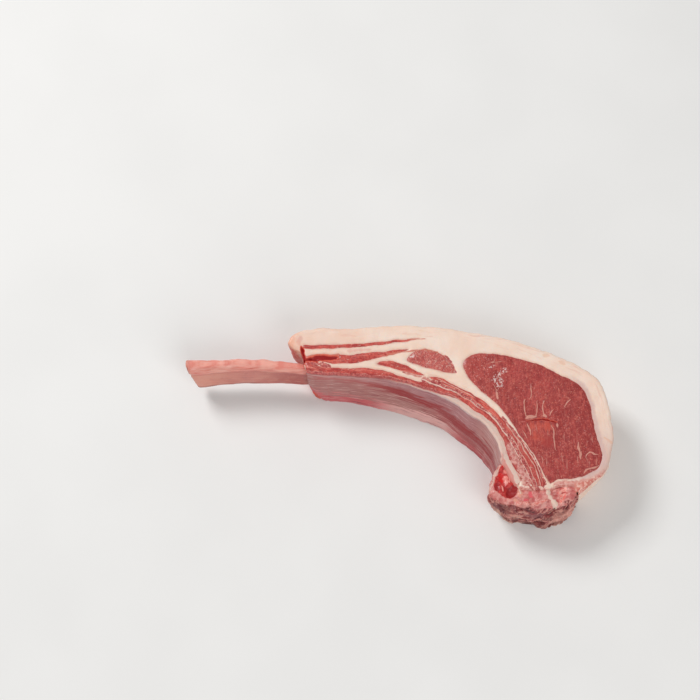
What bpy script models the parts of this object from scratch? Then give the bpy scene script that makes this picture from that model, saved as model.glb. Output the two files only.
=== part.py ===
"""Raw lamb rib chop, one slice about 182 mm long and 22 mm thick, lying on its flat cut face.

The slice holds the loin eye and the smaller muscles in a bed of fat. The rib stands on edge along
the hollow side, runs out bare past the meat and ends at the sawn chine bone. Lengths are in
millimetres until they are scaled to metres. X runs along the chop, the bare rib towards -X, and Y
runs from the hollow side to the fat side. Outlines are those of the upper cut face.
"""

import math

import bmesh
import bpy
from mathutils import Vector, noise

MM = 0.001
WELD = 0.00002  # points closer than this, in metres, are one

# Slice
THICKNESS = 22.0
GAP = 0.3  # clear space kept between neighbouring pieces
CUTTER_REACH = 2.0  # how far a cutter passes the two cut faces
LINE_STEP = 3.2  # longest chord on a smooth outline
FINE_STEP = 2.2  # longest chord on a small muscle's outline

# The cut is slanted, so the underside lies shifted against the upper face
LEAN_X = -3.6
LEAN_X_AT_FLANK = 10.0  # added at the thin flank end
LEAN_X_AT_CHINE = 4.5  # added at the chine bone
LEAN_Y_AT_FLANK = -4.4
LEAN_Y_AT_LOIN = -1.6  # added on the loin half
LEAN_Y_AT_CHINE = 4.5
LEAN_Y_AT_CORNER = 7.0  # added at the fat corner beside the chine bone
# Where each of these starts and is complete
CHINE_RAMP_Y = (-2.0, -36.0)
FLANK_RAMP_X = (-20.0, -48.0)
LOIN_RAMP_X = (-25.0, 5.0)
CORNER_RAMP_X = (62.0, 88.0)
CORNER_RAMP_Y = (5.0, -34.0)

# Hollow side: the inner face of rib and meat, from the rib's bare tip to the chine bone
INNER_EDGE = [
    (-91.1, 20.5), (-74.0, 21.7), (-59.0, 21.7), (-46.0, 21.0), (-34.0, 19.3), (-22.8, 18.9),
    (-9.9, 17.8), (0.7, 16.0), (9.3, 13.2), (17.8, 10.1), (24.1, 6.9), (29.8, 2.3),
    (36.7, -2.9), (41.5, -10.1), (43.6, -18.0), (46.2, -23.6), (49.4, -29.0), (55.0, -38.0),
]
MEAT_START_X = -40.8  # where the meat begins on the inner edge
MEAT_END_X = 49.5
RIB_END_X = 42.6

# Rib: distance along it from the tip, height, thickness, height of its middle over the underside
RIB_STATIONS = [
    (0.0, 16.6, 5.6, 12.9), (7.0, 15.4, 5.0, 13.1), (30.0, 14.2, 4.8, 13.4), (55.0, 13.4, 4.0, 13.2),
    (85.0, 12.4, 4.2, 10.8), (120.0, 12.0, 4.6, 8.6), (160.0, 12.4, 5.4, 7.8),
]
RIB_ROOM_SPARE = 3.0  # how far the room for the rib runs past its hidden end
RIB_CORNER = 1.3
RIB_DEPTH = 1.3  # from the inner edge to the rib's face, under the membrane
RIB_STEP = 4.0
# The space over or under the rib that is cleared of muscle, measured from the hollow side inwards
CORRIDOR = (-9.0, 17.0)
CORRIDOR_END_X = 60.0

# Membrane and white sinew that line the hollow side: distance past the meat's start, thickness
MEMBRANE_WIDTHS = [(0.0, 1.0), (52.0, 1.0), (66.0, 1.9), (90.0, 2.5), (112.0, 2.6)]
MEMBRANE_FOOT = [(0.0, 7.0), (4.0, 3.5), (9.0, 0.0)]  # its lower edge rises at the flank end

# Outer edge of the fat, from the flank end round the loin to the chine bone
FAT_EDGE = [
    (-40.8, 25.4), (-42.0, 29.6), (-45.1, 31.2), (-47.7, 33.9), (-46.6, 36.8), (-42.0, 39.2),
    (-33.5, 40.8), (-20.6, 40.4), (-7.7, 41.7), (5.2, 42.2), (18.0, 41.1), (31.0, 39.2),
    (46.0, 36.2), (58.8, 32.1), (69.4, 27.8), (81.2, 21.4), (87.4, 14.6), (90.1, 4.2),
    (91.2, -6.5), (91.0, -12.3), (88.7, -20.9), (86.0, -25.3), (81.8, -28.8), (77.4, -32.6),
    (74.6, -35.4),
]

EYE = [
    (27.8, 24.6), (30.4, 27.8), (37.7, 29.4), (48.0, 28.0), (57.4, 25.7), (65.0, 22.3),
    (75.5, 16.4), (80.9, 11.0), (83.6, 2.4), (85.0, -8.3), (86.2, -16.7), (84.7, -22.0),
    (79.8, -25.1), (73.8, -27.3), (67.0, -27.4), (63.9, -29.2), (61.4, -25.1), (58.2, -18.1),
    (51.9, -8.7), (45.8, 1.5), (40.2, 7.8), (34.2, 13.4), (29.4, 19.1),
]
CAP = [
    (3.8, 26.6), (6.8, 30.1), (12.9, 30.5), (18.0, 28.9), (22.0, 24.6), (24.6, 20.3),
    (20.5, 20.5), (13.6, 22.1), (5.9, 24.4),
]
LEAF = [
    (-9.5, 24.5), (-4.3, 26.0), (2.1, 24.1), (8.1, 20.9), (11.2, 18.9), (5.0, 20.2), (-3.5, 22.7),
]
STREAK = [
    (-40.8, 32.8), (-22.8, 34.0), (-9.9, 34.8), (0.9, 35.7), (9.6, 36.0), (0.9, 34.7),
    (-9.9, 33.5), (-22.8, 32.3), (-40.8, 31.2),
]
FLAP = [
    (-39.6, 27.3), (-31.3, 29.2), (-20.6, 28.9), (-12.0, 29.7), (-1.3, 31.4), (4.6, 32.2),
    (-5.6, 28.2), (-16.3, 25.2), (-22.8, 24.5), (-29.2, 24.6), (-36.6, 26.2),
]
SIDE = [
    (13.0, 18.3), (19.5, 17.5), (23.2, 15.3), (30.8, 11.1), (39.0, 5.4), (44.4, -0.8),
    (50.6, -9.2), (56.9, -18.6), (60.1, -25.4), (62.0, -29.8), (58.6, -30.2), (56.4, -25.6),
    (53.3, -19.6), (49.8, -12.6), (46.6, -7.0), (42.0, -0.6), (37.0, 4.2), (32.6, 7.4),
    (28.4, 10.6), (24.2, 12.9), (18.6, 15.6),
]
# Outer side of the muscle over the rib, from the flank end to the chine bone
RIB_MEAT_EDGE = [
    (-39.9, 25.9), (-34.3, 23.2), (-29.2, 22.6), (-18.0, 22.4), (-9.9, 22.0), (-1.4, 19.7),
    (7.2, 16.8), (15.7, 14.5), (24.2, 11.3), (28.4, 9.1), (32.6, 5.9), (38.0, 2.0),
    (45.3, -7.6), (48.4, -13.4), (51.8, -20.4), (55.0, -26.4), (57.2, -30.6),
]

# Chine bone: the same corners on the upper face and on the underside
CHINE_TOP = [
    (44.0, -18.6), (41.4, -22.0), (38.8, -29.6), (37.0, -34.8), (41.2, -36.6), (48.7, -39.6),
    (54.9, -41.6), (61.0, -40.3), (66.4, -40.0), (71.8, -38.8), (75.4, -34.4), (74.4, -29.4),
    (67.0, -29.6), (63.6, -31.4), (56.0, -31.4), (50.2, -31.0), (47.7, -26.4), (45.8, -22.2),
]
CHINE_FOOT = [
    (42.0, -21.6), (40.8, -24.4), (40.4, -30.6), (42.4, -36.0), (45.6, -40.2), (52.1, -40.9),
    (57.0, -42.0), (61.6, -42.8), (67.1, -42.0), (71.6, -39.8), (74.8, -34.0), (74.0, -29.6),
    (67.0, -30.2), (63.0, -32.0), (56.0, -32.0), (50.6, -32.0), (47.4, -28.4), (44.6, -24.6),
]
CHINE_CORNER = CHINE_TOP[9]  # its corner beside the outer fat
BED_CORNER = (50.4, -36.0)  # where the fat ends under the room of the chine bone
CHINE_VOXEL = 1.7
CHINE_ROUGHNESS = 0.9
CHINE_GRIT = 6.0  # size of its lumps
CHINE_SMOOTH_FOOT = 3.0  # its lumps fade out below this height
CHINE_FLAT_FOOT = 0.7  # and what lies below this height is brought down to the ground
CHINE_FACING = (0.3, 0.9)  # how far up a surface faces where the pits and knobs begin and are full
# Pits and knobs on the upper face: x, y, radius, height
CHINE_RELIEF = [
    (43.9, -27.0, 4.2, -2.0), (46.3, -33.0, 3.4, -1.6), (62.9, -33.4, 2.8, 1.2),
    (69.5, -33.0, 4.0, -1.1), (56.0, -36.0, 4.0, -0.8),
]

COLOURS = {
    "fat_cap": ((0.86, 0.65, 0.56), 0.42),
    "eye_muscle": ((0.37, 0.065, 0.060), 0.36),
    "cap_muscle": ((0.51, 0.11, 0.11), 0.36),
    "leaf_muscle": ((0.54, 0.12, 0.11), 0.36),
    "streak_muscle": ((0.53, 0.16, 0.15), 0.38),
    "flap_muscle": ((0.48, 0.11, 0.09), 0.36),
    "side_muscle": ((0.58, 0.15, 0.12), 0.36),
    "rib_muscle": ((0.48, 0.10, 0.10), 0.36),
    "under_rib_muscle": ((0.40, 0.10, 0.10), 0.36),
    "inner_membrane": ((0.38, 0.17, 0.17), 0.30),
    "rib_bone": ((0.46, 0.20, 0.17), 0.40),
    "chine_bone": ((0.50, 0.13, 0.13), 0.45),
}


def clear_scene():
    for obj in list(bpy.data.objects):
        bpy.data.objects.remove(obj, do_unlink=True)


def new_collection(name):
    collection = bpy.data.collections.new(name)
    bpy.context.scene.collection.children.link(collection)
    return collection


def ramp(low, high, value):
    """0 below low, 1 above high, smooth between; low may lie above high."""
    t = min(max((value - low) / (high - low), 0.0), 1.0)
    return t * t * (3.0 - 2.0 * t)


def read_table(stations, at, column):
    """A column of a table of stations, read smoothly at a distance along it."""
    if at <= stations[0][0]:
        return stations[0][column]
    for before, after in zip(stations, stations[1:]):
        if at <= after[0]:
            t = (at - before[0]) / (after[0] - before[0])
            return before[column] + (after[column] - before[column]) * t
    return stations[-1][column]


def lean(x, y, z):
    """Where a point of the upper face's plan lies at height z of the slanted slice."""
    at_chine = ramp(*CHINE_RAMP_Y, y)
    corner = ramp(*CORNER_RAMP_X, x) * ramp(*CORNER_RAMP_Y, y)
    shift_x = LEAN_X + LEAN_X_AT_FLANK * ramp(*FLANK_RAMP_X, x) + LEAN_X_AT_CHINE * at_chine
    shift_y = (LEAN_Y_AT_FLANK + LEAN_Y_AT_LOIN * ramp(*LOIN_RAMP_X, x)
               + LEAN_Y_AT_CHINE * at_chine + LEAN_Y_AT_CORNER * corner)
    depth = (THICKNESS - z) / THICKNESS
    return Vector(((x + shift_x * depth) * MM, (y + shift_y * depth) * MM, z * MM))


def smooth_line(points, closed, step):
    """A smooth line through the points, as plain points about a step apart."""
    count = len(points)
    line = []
    for i in range(count if closed else count - 1):
        if closed:
            around = [Vector(points[(i + k) % count]) for k in (-1, 0, 1, 2)]
        else:
            around = [Vector(points[min(max(i + k, 0), count - 1)]) for k in (-1, 0, 1, 2)]
        a, b, c, d = around
        pieces = max(1, math.ceil((c - b).length / step))
        for j in range(pieces):
            t = j / pieces
            line.append(0.5 * (2.0 * b + (c - a) * t + (2.0 * a - 5.0 * b + 4.0 * c - d) * t * t
                               + (3.0 * b - a - 3.0 * c + d) * t * t * t))
    if not closed:
        line.append(Vector(points[-1]))
    return line


def side_normals(line):
    """Unit normals on the left of an open line."""
    normals = []
    for i in range(len(line)):
        along = line[min(i + 1, len(line) - 1)] - line[max(i - 1, 0)]
        normals.append(Vector((-along.y, along.x)).normalized())
    return normals


def distances(line):
    total = [0.0]
    for a, b in zip(line, line[1:]):
        total.append(total[-1] + (b - a).length)
    return total


def grow(outline, width):
    """A closed outline moved outwards by a width; it runs clockwise or the other way."""
    area = sum(a.x * b.y - b.x * a.y for a, b in zip(outline, outline[1:] + outline[:1]))
    sign = -1.0 if area > 0 else 1.0
    grown = []
    for i, point in enumerate(outline):
        before = (point - outline[i - 1]).normalized()
        after = (outline[(i + 1) % len(outline)] - point).normalized()
        along = (before + after).normalized()
        reach = width / max(0.5, along.dot(after))
        grown.append(point + Vector((-along.y, along.x)) * sign * reach)
    return grown


def as_object(name, mesh, collection):
    obj = bpy.data.objects.new(name, mesh)
    collection.objects.link(obj)
    return obj


def slab(name, outline, collection, low=0.0, high=THICKNESS):
    """A flat outline through the slanted slice, between two heights."""
    curve = bpy.data.curves.new(name, "CURVE")
    curve.dimensions = "2D"
    curve.fill_mode = "BOTH"
    curve.extrude = (high - low) / 2.0
    spline = curve.splines.new("POLY")
    spline.points.add(len(outline) - 1)
    spline.use_cyclic_u = True
    for target, point in zip(spline.points, outline):
        target.co = (point.x, point.y, 0.0, 1.0)
    source = as_object(name + "_curve", curve, collection)
    bpy.context.view_layer.update()
    mesh = bpy.data.meshes.new_from_object(source.evaluated_get(
        bpy.context.evaluated_depsgraph_get()))
    bpy.data.objects.remove(source, do_unlink=True)
    bm = bmesh.new()
    bm.from_mesh(mesh)
    bmesh.ops.remove_doubles(bm, verts=bm.verts, dist=0.01)
    for vertex in bm.verts:
        height = vertex.co.z + (low + high) / 2.0
        vertex.co = lean(vertex.co.x, vertex.co.y, height)
    bmesh.ops.recalc_face_normals(bm, faces=bm.faces)
    bm.to_mesh(mesh)
    bm.free()
    mesh.name = name
    return as_object(name, mesh, collection)


def swept(name, stations, collection):
    """A solid through cross-sections of equal corner counts. A corner is (x, y, z) in plan."""
    bm = bmesh.new()
    rings = [[bm.verts.new(lean(*corner)) for corner in ring] for ring in stations]
    for ring, following in zip(rings, rings[1:]):
        for i in range(len(ring)):
            j = (i + 1) % len(ring)
            bm.faces.new((ring[i], ring[j], following[j], following[i]))
    bm.faces.new(rings[0])
    bm.faces.new(rings[-1])
    bmesh.ops.recalc_face_normals(bm, faces=bm.faces)
    mesh = bpy.data.meshes.new(name)
    bm.to_mesh(mesh)
    bm.free()
    return as_object(name, mesh, collection)


def inner_line(start_x, end_x, step):
    """The stretch of the hollow side between two places, with its normals into the meat."""
    line = smooth_line(INNER_EDGE, False, step)
    normals = side_normals(line)
    places = distances(line)
    kept = [i for i, point in enumerate(line) if start_x <= point.x <= end_x]
    return [(line[i], normals[i], places[i]) for i in kept]


def rib_heights(place):
    """Lower and upper edge of the rib at a distance along it."""
    height = read_table(RIB_STATIONS, place, 1)
    middle = read_table(RIB_STATIONS, place, 3)
    return middle - height / 2.0, middle + height / 2.0


def rib_section(point, normal, place, grown):
    """The rib's rounded cross-section, or a larger one that clears it."""
    low, high = rib_heights(place)
    near = RIB_DEPTH - grown
    far = RIB_DEPTH + read_table(RIB_STATIONS, place, 2) + grown
    low -= grown
    high += grown
    corners = [
        (near, low + RIB_CORNER), (near, high - RIB_CORNER), (near + RIB_CORNER, high),
        (far - RIB_CORNER, high), (far, high - RIB_CORNER), (far, low + RIB_CORNER),
        (far - RIB_CORNER, low), (near + RIB_CORNER, low),
    ]
    return [(point.x + normal.x * n, point.y + normal.y * n, z) for n, z in corners]


def make_rib(name, collection, grown=0.0, end_x=RIB_END_X):
    stations = [rib_section(point, normal, place, grown)
                for point, normal, place in inner_line(INNER_EDGE[0][0], end_x, RIB_STEP)]
    return swept(name, stations, collection)


def rib_corridor(name, collection, below):
    """All that lies below the top of the rib, or above its foot, along the rib."""
    stations = []
    near, far = CORRIDOR
    for point, normal, place in inner_line(-CORRIDOR_END_X, CORRIDOR_END_X, RIB_STEP):
        low, high = rib_heights(place)
        bottom = -CUTTER_REACH if below else low - GAP
        top = high + GAP if below else THICKNESS + CUTTER_REACH
        corners = [(near, bottom), (near, top), (far, top), (far, bottom)]
        stations.append([(point.x + normal.x * n, point.y + normal.y * n, z) for n, z in corners])
    return swept(name, stations, collection)


def subtract(target, cutter):
    """Cuts a cutter away and bakes the result into the target's own mesh."""
    modifier = target.modifiers.new("cut", "BOOLEAN")
    modifier.operation = "DIFFERENCE"
    modifier.solver = "EXACT"
    modifier.object = cutter
    bpy.context.view_layer.update()
    mesh = bpy.data.meshes.new_from_object(target.evaluated_get(
        bpy.context.evaluated_depsgraph_get()))
    target.modifiers.clear()
    old = target.data
    target.data = mesh
    bpy.data.meshes.remove(old)


def keep_largest(target):
    """Drops the loose scraps that a cut leaves, and welds and tidies what stays."""
    bm = bmesh.new()
    bm.from_mesh(target.data)
    bmesh.ops.remove_doubles(bm, verts=bm.verts, dist=WELD)
    bmesh.ops.dissolve_degenerate(bm, edges=bm.edges, dist=WELD)
    left = set(bm.verts)
    groups = []
    while left:
        stack = [left.pop()]
        group = set(stack)
        while stack:
            for edge in stack.pop().link_edges:
                for vertex in edge.verts:
                    if vertex in left:
                        left.discard(vertex)
                        group.add(vertex)
                        stack.append(vertex)
        groups.append(group)
    largest = max(groups, key=len)
    bmesh.ops.delete(bm, geom=[v for v in bm.verts if v not in largest], context="VERTS")
    bmesh.ops.triangulate(bm, faces=bm.faces)
    bm.to_mesh(target.data)
    bm.free()


def relief(point):
    """How far the chine bone's upper face stands above or below its level, in mm."""
    height = 0.0
    for x, y, radius, amount in CHINE_RELIEF:
        distance = math.hypot(point.x / MM - x, point.y / MM - y)
        height += amount * ramp(radius, 0.0, distance)
    return height


def chine_block(name, collection, grown=0.0, reach=0.0):
    """The plain form of the chine bone: a loft between its outlines on the two cut faces."""
    top = grow([Vector(corner) for corner in CHINE_TOP], grown)
    foot = grow([Vector(corner) for corner in CHINE_FOOT], grown)
    heights = [(foot, 0.0), (top, THICKNESS)]
    if reach:
        heights = [(foot, -reach)] + heights + [(top, THICKNESS + reach)]
    bm = bmesh.new()
    levels = []
    for outline, height in heights:
        levels.append([bm.verts.new((p.x * MM, p.y * MM, height * MM)) for p in outline])
    for ring, following in zip(levels, levels[1:]):
        for i in range(len(ring)):
            j = (i + 1) % len(ring)
            bm.faces.new((ring[i], ring[j], following[j], following[i]))
    bm.faces.new(levels[0])
    bm.faces.new(levels[-1])
    bmesh.ops.recalc_face_normals(bm, faces=bm.faces)
    mesh = bpy.data.meshes.new(name)
    bm.to_mesh(mesh)
    bm.free()
    return as_object(name, mesh, collection)


def make_chine(name, collection):
    """The sawn bone, with a rough surface, pits and knobs."""
    obj = chine_block(name, collection)
    remesh = obj.modifiers.new("remesh", "REMESH")
    remesh.mode = "VOXEL"
    remesh.voxel_size = CHINE_VOXEL * MM
    bpy.context.view_layer.update()
    mesh = bpy.data.meshes.new_from_object(obj.evaluated_get(
        bpy.context.evaluated_depsgraph_get()))
    obj.modifiers.clear()
    obj.data = mesh
    mesh.name = name
    bm = bmesh.new()
    bm.from_mesh(mesh)
    bm.normal_update()
    moves = []
    for vertex in bm.verts:
        lump = noise.noise(vertex.co / (CHINE_GRIT * MM)) * 0.5 + 0.5
        inward = CHINE_ROUGHNESS * lump * ramp(0.0, CHINE_SMOOTH_FOOT, vertex.co.z / MM)
        rise = relief(vertex.co) * ramp(*CHINE_FACING, vertex.normal.z)
        moves.append((-vertex.normal * inward + Vector((0.0, 0.0, rise))) * MM)
    for vertex, move in zip(bm.verts, moves):
        vertex.co += move
        if vertex.co.z < CHINE_FLAT_FOOT * MM:
            vertex.co.z = 0.0
    bmesh.ops.triangulate(bm, faces=bm.faces)
    bm.to_mesh(mesh)
    bm.free()
    return obj


def paint(obj):
    colour, roughness = COLOURS[obj.name]
    material = bpy.data.materials.new(obj.name)
    material.use_nodes = True
    shader = material.node_tree.nodes["Principled BSDF"]
    shader.inputs["Base Color"].default_value = (*colour, 1.0)
    shader.inputs["Roughness"].default_value = roughness
    shader.inputs["Metallic"].default_value = 0.0
    obj.data.materials.clear()
    obj.data.materials.append(material)


def as_cutter(obj):
    obj.hide_render = True
    obj.display_type = "WIRE"


def main():
    clear_scene()
    parts = new_collection("lamb_rib_chop")
    cutters = new_collection("cutters")

    # Plan outlines
    small = {
        "eye_muscle": EYE, "cap_muscle": CAP, "leaf_muscle": LEAF, "streak_muscle": STREAK,
        "flap_muscle": FLAP, "side_muscle": SIDE,
    }
    outlines = {}
    for name, points in small.items():
        step = LINE_STEP if name == "eye_muscle" else FINE_STEP
        outlines[name] = smooth_line(points, True, step)
    wall = inner_line(MEAT_START_X, MEAT_END_X, LINE_STEP)
    start = wall[0][2]
    membrane_back = []
    bed_edge = []
    for point, normal, place in wall:
        width = read_table(MEMBRANE_WIDTHS, place - start, 1)
        membrane_back.append(point + normal * width)
        bed_edge.append(point + normal * (width + GAP))
    rib_meat = smooth_line(RIB_MEAT_EDGE, False, LINE_STEP) + bed_edge[::-1][1:]
    fat = smooth_line(FAT_EDGE, False, LINE_STEP)
    bed = fat + [Vector(CHINE_CORNER), Vector(BED_CORNER)] + bed_edge[::-1]

    # The rib and the room it takes
    make_rib("rib_bone", parts)
    rib_room = make_rib("rib_room", cutters, GAP, RIB_END_X + RIB_ROOM_SPARE)
    below_top = rib_corridor("below_rib_top", cutters, True)
    above_foot = rib_corridor("above_rib_foot", cutters, False)

    # The chine bone and its room
    make_chine("chine_bone", parts)
    chine_room = chine_block("chine_room", cutters, GAP, CUTTER_REACH)

    # Muscles
    for name, outline in outlines.items():
        slab(name, outline, parts)
    rib_muscle = slab("rib_muscle", rib_meat, parts)
    subtract(rib_muscle, below_top)
    under = slab("under_rib_muscle", rib_meat, parts)
    subtract(under, above_foot)

    # Membrane that lines the hollow side
    stations = []
    for (point, normal, place), back in zip(wall, membrane_back):
        foot = read_table(MEMBRANE_FOOT, place - start, 1)
        stations.append([(point.x, point.y, foot), (point.x, point.y, THICKNESS),
                         (back.x, back.y, THICKNESS), (back.x, back.y, foot)])
    membrane = swept("inner_membrane", stations, parts)
    subtract(membrane, rib_room)

    # The bed of fat, cut clear of everything it holds
    fat_cap = slab("fat_cap", bed, parts)
    for name, outline in {**outlines, "rib_muscle": rib_meat}.items():
        subtract(fat_cap, slab(name + "_room", grow(outline, GAP), cutters, -CUTTER_REACH,
                               THICKNESS + CUTTER_REACH))
    for cutter in (rib_room, chine_room):
        subtract(fat_cap, cutter)
    for piece in (rib_muscle, under, membrane, parts.objects["side_muscle"]):
        subtract(piece, chine_room)
    for name in outlines:
        subtract(parts.objects[name], rib_room)

    for obj in parts.objects:
        keep_largest(obj)
        paint(obj)
    for obj in cutters.objects:
        as_cutter(obj)


main()
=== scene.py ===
"""Dresses the raw lamb rib chop: fresh-cut muscle, fat, the membrane of the hollow side, the bare
rib and the sawn chine bone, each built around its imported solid. Lengths in this file are in
millimetres until a mesh is written. X runs along the chop, the bare rib towards -X, and Y runs
from the hollow side to the fat side.
"""

import math

import bmesh
import bpy
import numpy as np
from bpy.props import FloatProperty, FloatVectorProperty, PointerProperty
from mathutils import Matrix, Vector, kdtree, noise
from mathutils.bvhtree import BVHTree
from mathutils.geometry import delaunay_2d_cdt


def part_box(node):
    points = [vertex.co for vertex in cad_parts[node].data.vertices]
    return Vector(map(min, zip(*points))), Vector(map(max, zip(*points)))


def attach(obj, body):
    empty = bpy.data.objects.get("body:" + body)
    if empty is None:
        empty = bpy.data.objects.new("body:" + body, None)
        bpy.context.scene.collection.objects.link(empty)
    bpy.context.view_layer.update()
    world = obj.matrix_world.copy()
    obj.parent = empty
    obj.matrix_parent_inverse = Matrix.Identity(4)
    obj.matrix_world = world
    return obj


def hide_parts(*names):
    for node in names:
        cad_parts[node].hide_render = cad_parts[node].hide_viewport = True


bl_info = {
    "name": "Lamb Rib Chop",
    "version": (1, 0, 0),
    "blender": (4, 5, 0),
    "location": "View3D > Sidebar > Chop",
    "description": "Builds a raw lamb rib chop from its plain solids",
    "category": "Add Mesh",
}

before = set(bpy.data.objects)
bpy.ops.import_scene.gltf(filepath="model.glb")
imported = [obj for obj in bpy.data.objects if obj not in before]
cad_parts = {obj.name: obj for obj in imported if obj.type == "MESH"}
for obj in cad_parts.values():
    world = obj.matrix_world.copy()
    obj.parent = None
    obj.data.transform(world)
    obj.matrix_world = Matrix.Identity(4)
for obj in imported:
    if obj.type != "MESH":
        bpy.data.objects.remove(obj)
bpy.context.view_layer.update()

MM = 0.001
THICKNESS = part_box("eye_muscle")[1].z / MM

# The slanted cut: how far the underside lies shifted against the upper face
LEAN_X = -3.6
LEAN_X_AT_FLANK = 10.0
LEAN_X_AT_CHINE = 4.5
LEAN_Y_AT_FLANK = -4.4
LEAN_Y_AT_LOIN = -1.6
LEAN_Y_AT_CHINE = 4.5
LEAN_Y_AT_CORNER = 7.0
CHINE_RAMP = (-2.0, -36.0)
FLANK_RAMP = (-20.0, -48.0)
LOIN_RAMP = (-25.0, 5.0)
CORNER_RAMP_X = (62.0, 88.0)
CORNER_RAMP_Y = (5.0, -34.0)

# Nodes that are slices through the chop, and the muscles among them
MUSCLES = ("eye_muscle", "cap_muscle", "leaf_muscle", "streak_muscle", "flap_muscle",
           "side_muscle", "rib_muscle")
SLICES = MUSCLES + ("inner_membrane", "fat_cap")
GAP = 0.3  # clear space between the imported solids, which the fat fills
GAP_REACH = 1.2 * GAP
MEMBRANE_FOOT = (7.0, 9.0)  # its lower edge lies so high at the flank end, and reaches 0 so far on

# How the outlines and bands are drawn
WELD = 0.00001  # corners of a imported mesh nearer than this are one, in metres
SAME_PLACE = 0.05
TINY = 1e-9
FAR = 9.0  # stands for any distance that is too great to show
CORNER_COSINE = 0.55  # an outline turning more sharply than this stays a corner
PLAIN_HALF = 1.2  # bands with a smaller half width than this keep a finer edge
THREAD_REACH = 4.0
THREAD_TIP = 0.15  # a band's ends are so much of its width
THREAD_UNEVEN = (0.7, 1.7)  # and its width varies by so much, over such a length
AREA_STEP = 0.5
PALE_RUN_OUT = 2.2
DARK_RUN_OUT = 4.0

# How the meshes are laid
RIM_RINGS = (0.12, 0.34, 0.7)  # distances of the extra points along an outer rim
RIM_ROOM = 0.1  # an extra point stays so far from the others
GRID_ROOM = 0.55  # and a point of the even grid so many steps
WALL_ROWS = 26
HIDDEN_ROWS = 3
CUT_DEPTH = 0.01  # lines and areas show on the face, down to this depth
CLEFT_DEPTH = 6.0  # and a cleft down to this one
SMOOTH_ANGLE = math.radians(50.0)

# Relief of the cut face: height of its lumps, their size and the seed of the noise
FACE_LUMPS = ((0.30, 9.0, 0.0), (0.14, 3.2, 7.0), (0.05, 1.2, 2.0))
UNDERSIDE_AWAY = 40.0  # the underside takes its lumps from so far away in the noise
# How the borders wander: share of the whole, size, and the seeds along x and y
WOBBLES = ((1.0, 4.5, 3.1, 8.7), (0.35, 1.5, 5.3, 1.9))
MUSCLE_RISE = 0.22
FAT_RISE = 0.10
GROOVE = 0.22  # depth of the groove at a muscle's edge
GROOVE_HALF = 0.5
LINE_RISE = 0.12

# Steps by which the muscles' outlines are moved: place, step and reach; then one muscle's own
NUDGES = [
    ((-28.0, 33.5), (0.0, -0.7), 6.0), ((-17.0, 33.5), (0.0, -0.9), 6.0),
    ((-6.0, 32.5), (0.0, -0.7), 6.0), ((4.0, 32.0), (0.0, -1.0), 5.0),
    ((38.0, 29.0), (0.0, -0.4), 8.0), ((55.0, 26.0), (0.0, -0.5), 8.0),
    ((67.0, 20.0), (-0.4, -0.7), 7.0), ((80.0, 9.0), (-0.9, -0.4), 6.0),
    ((84.0, -3.0), (-1.3, 0.0), 9.0),
]
OWN_NUDGES = {"cap_muscle": [((12.0, 30.5), (0.0, 0.5), 6.0)],
              "flap_muscle": [((11.0, 32.0), (0.0, -0.8), 6.0)]}

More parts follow.
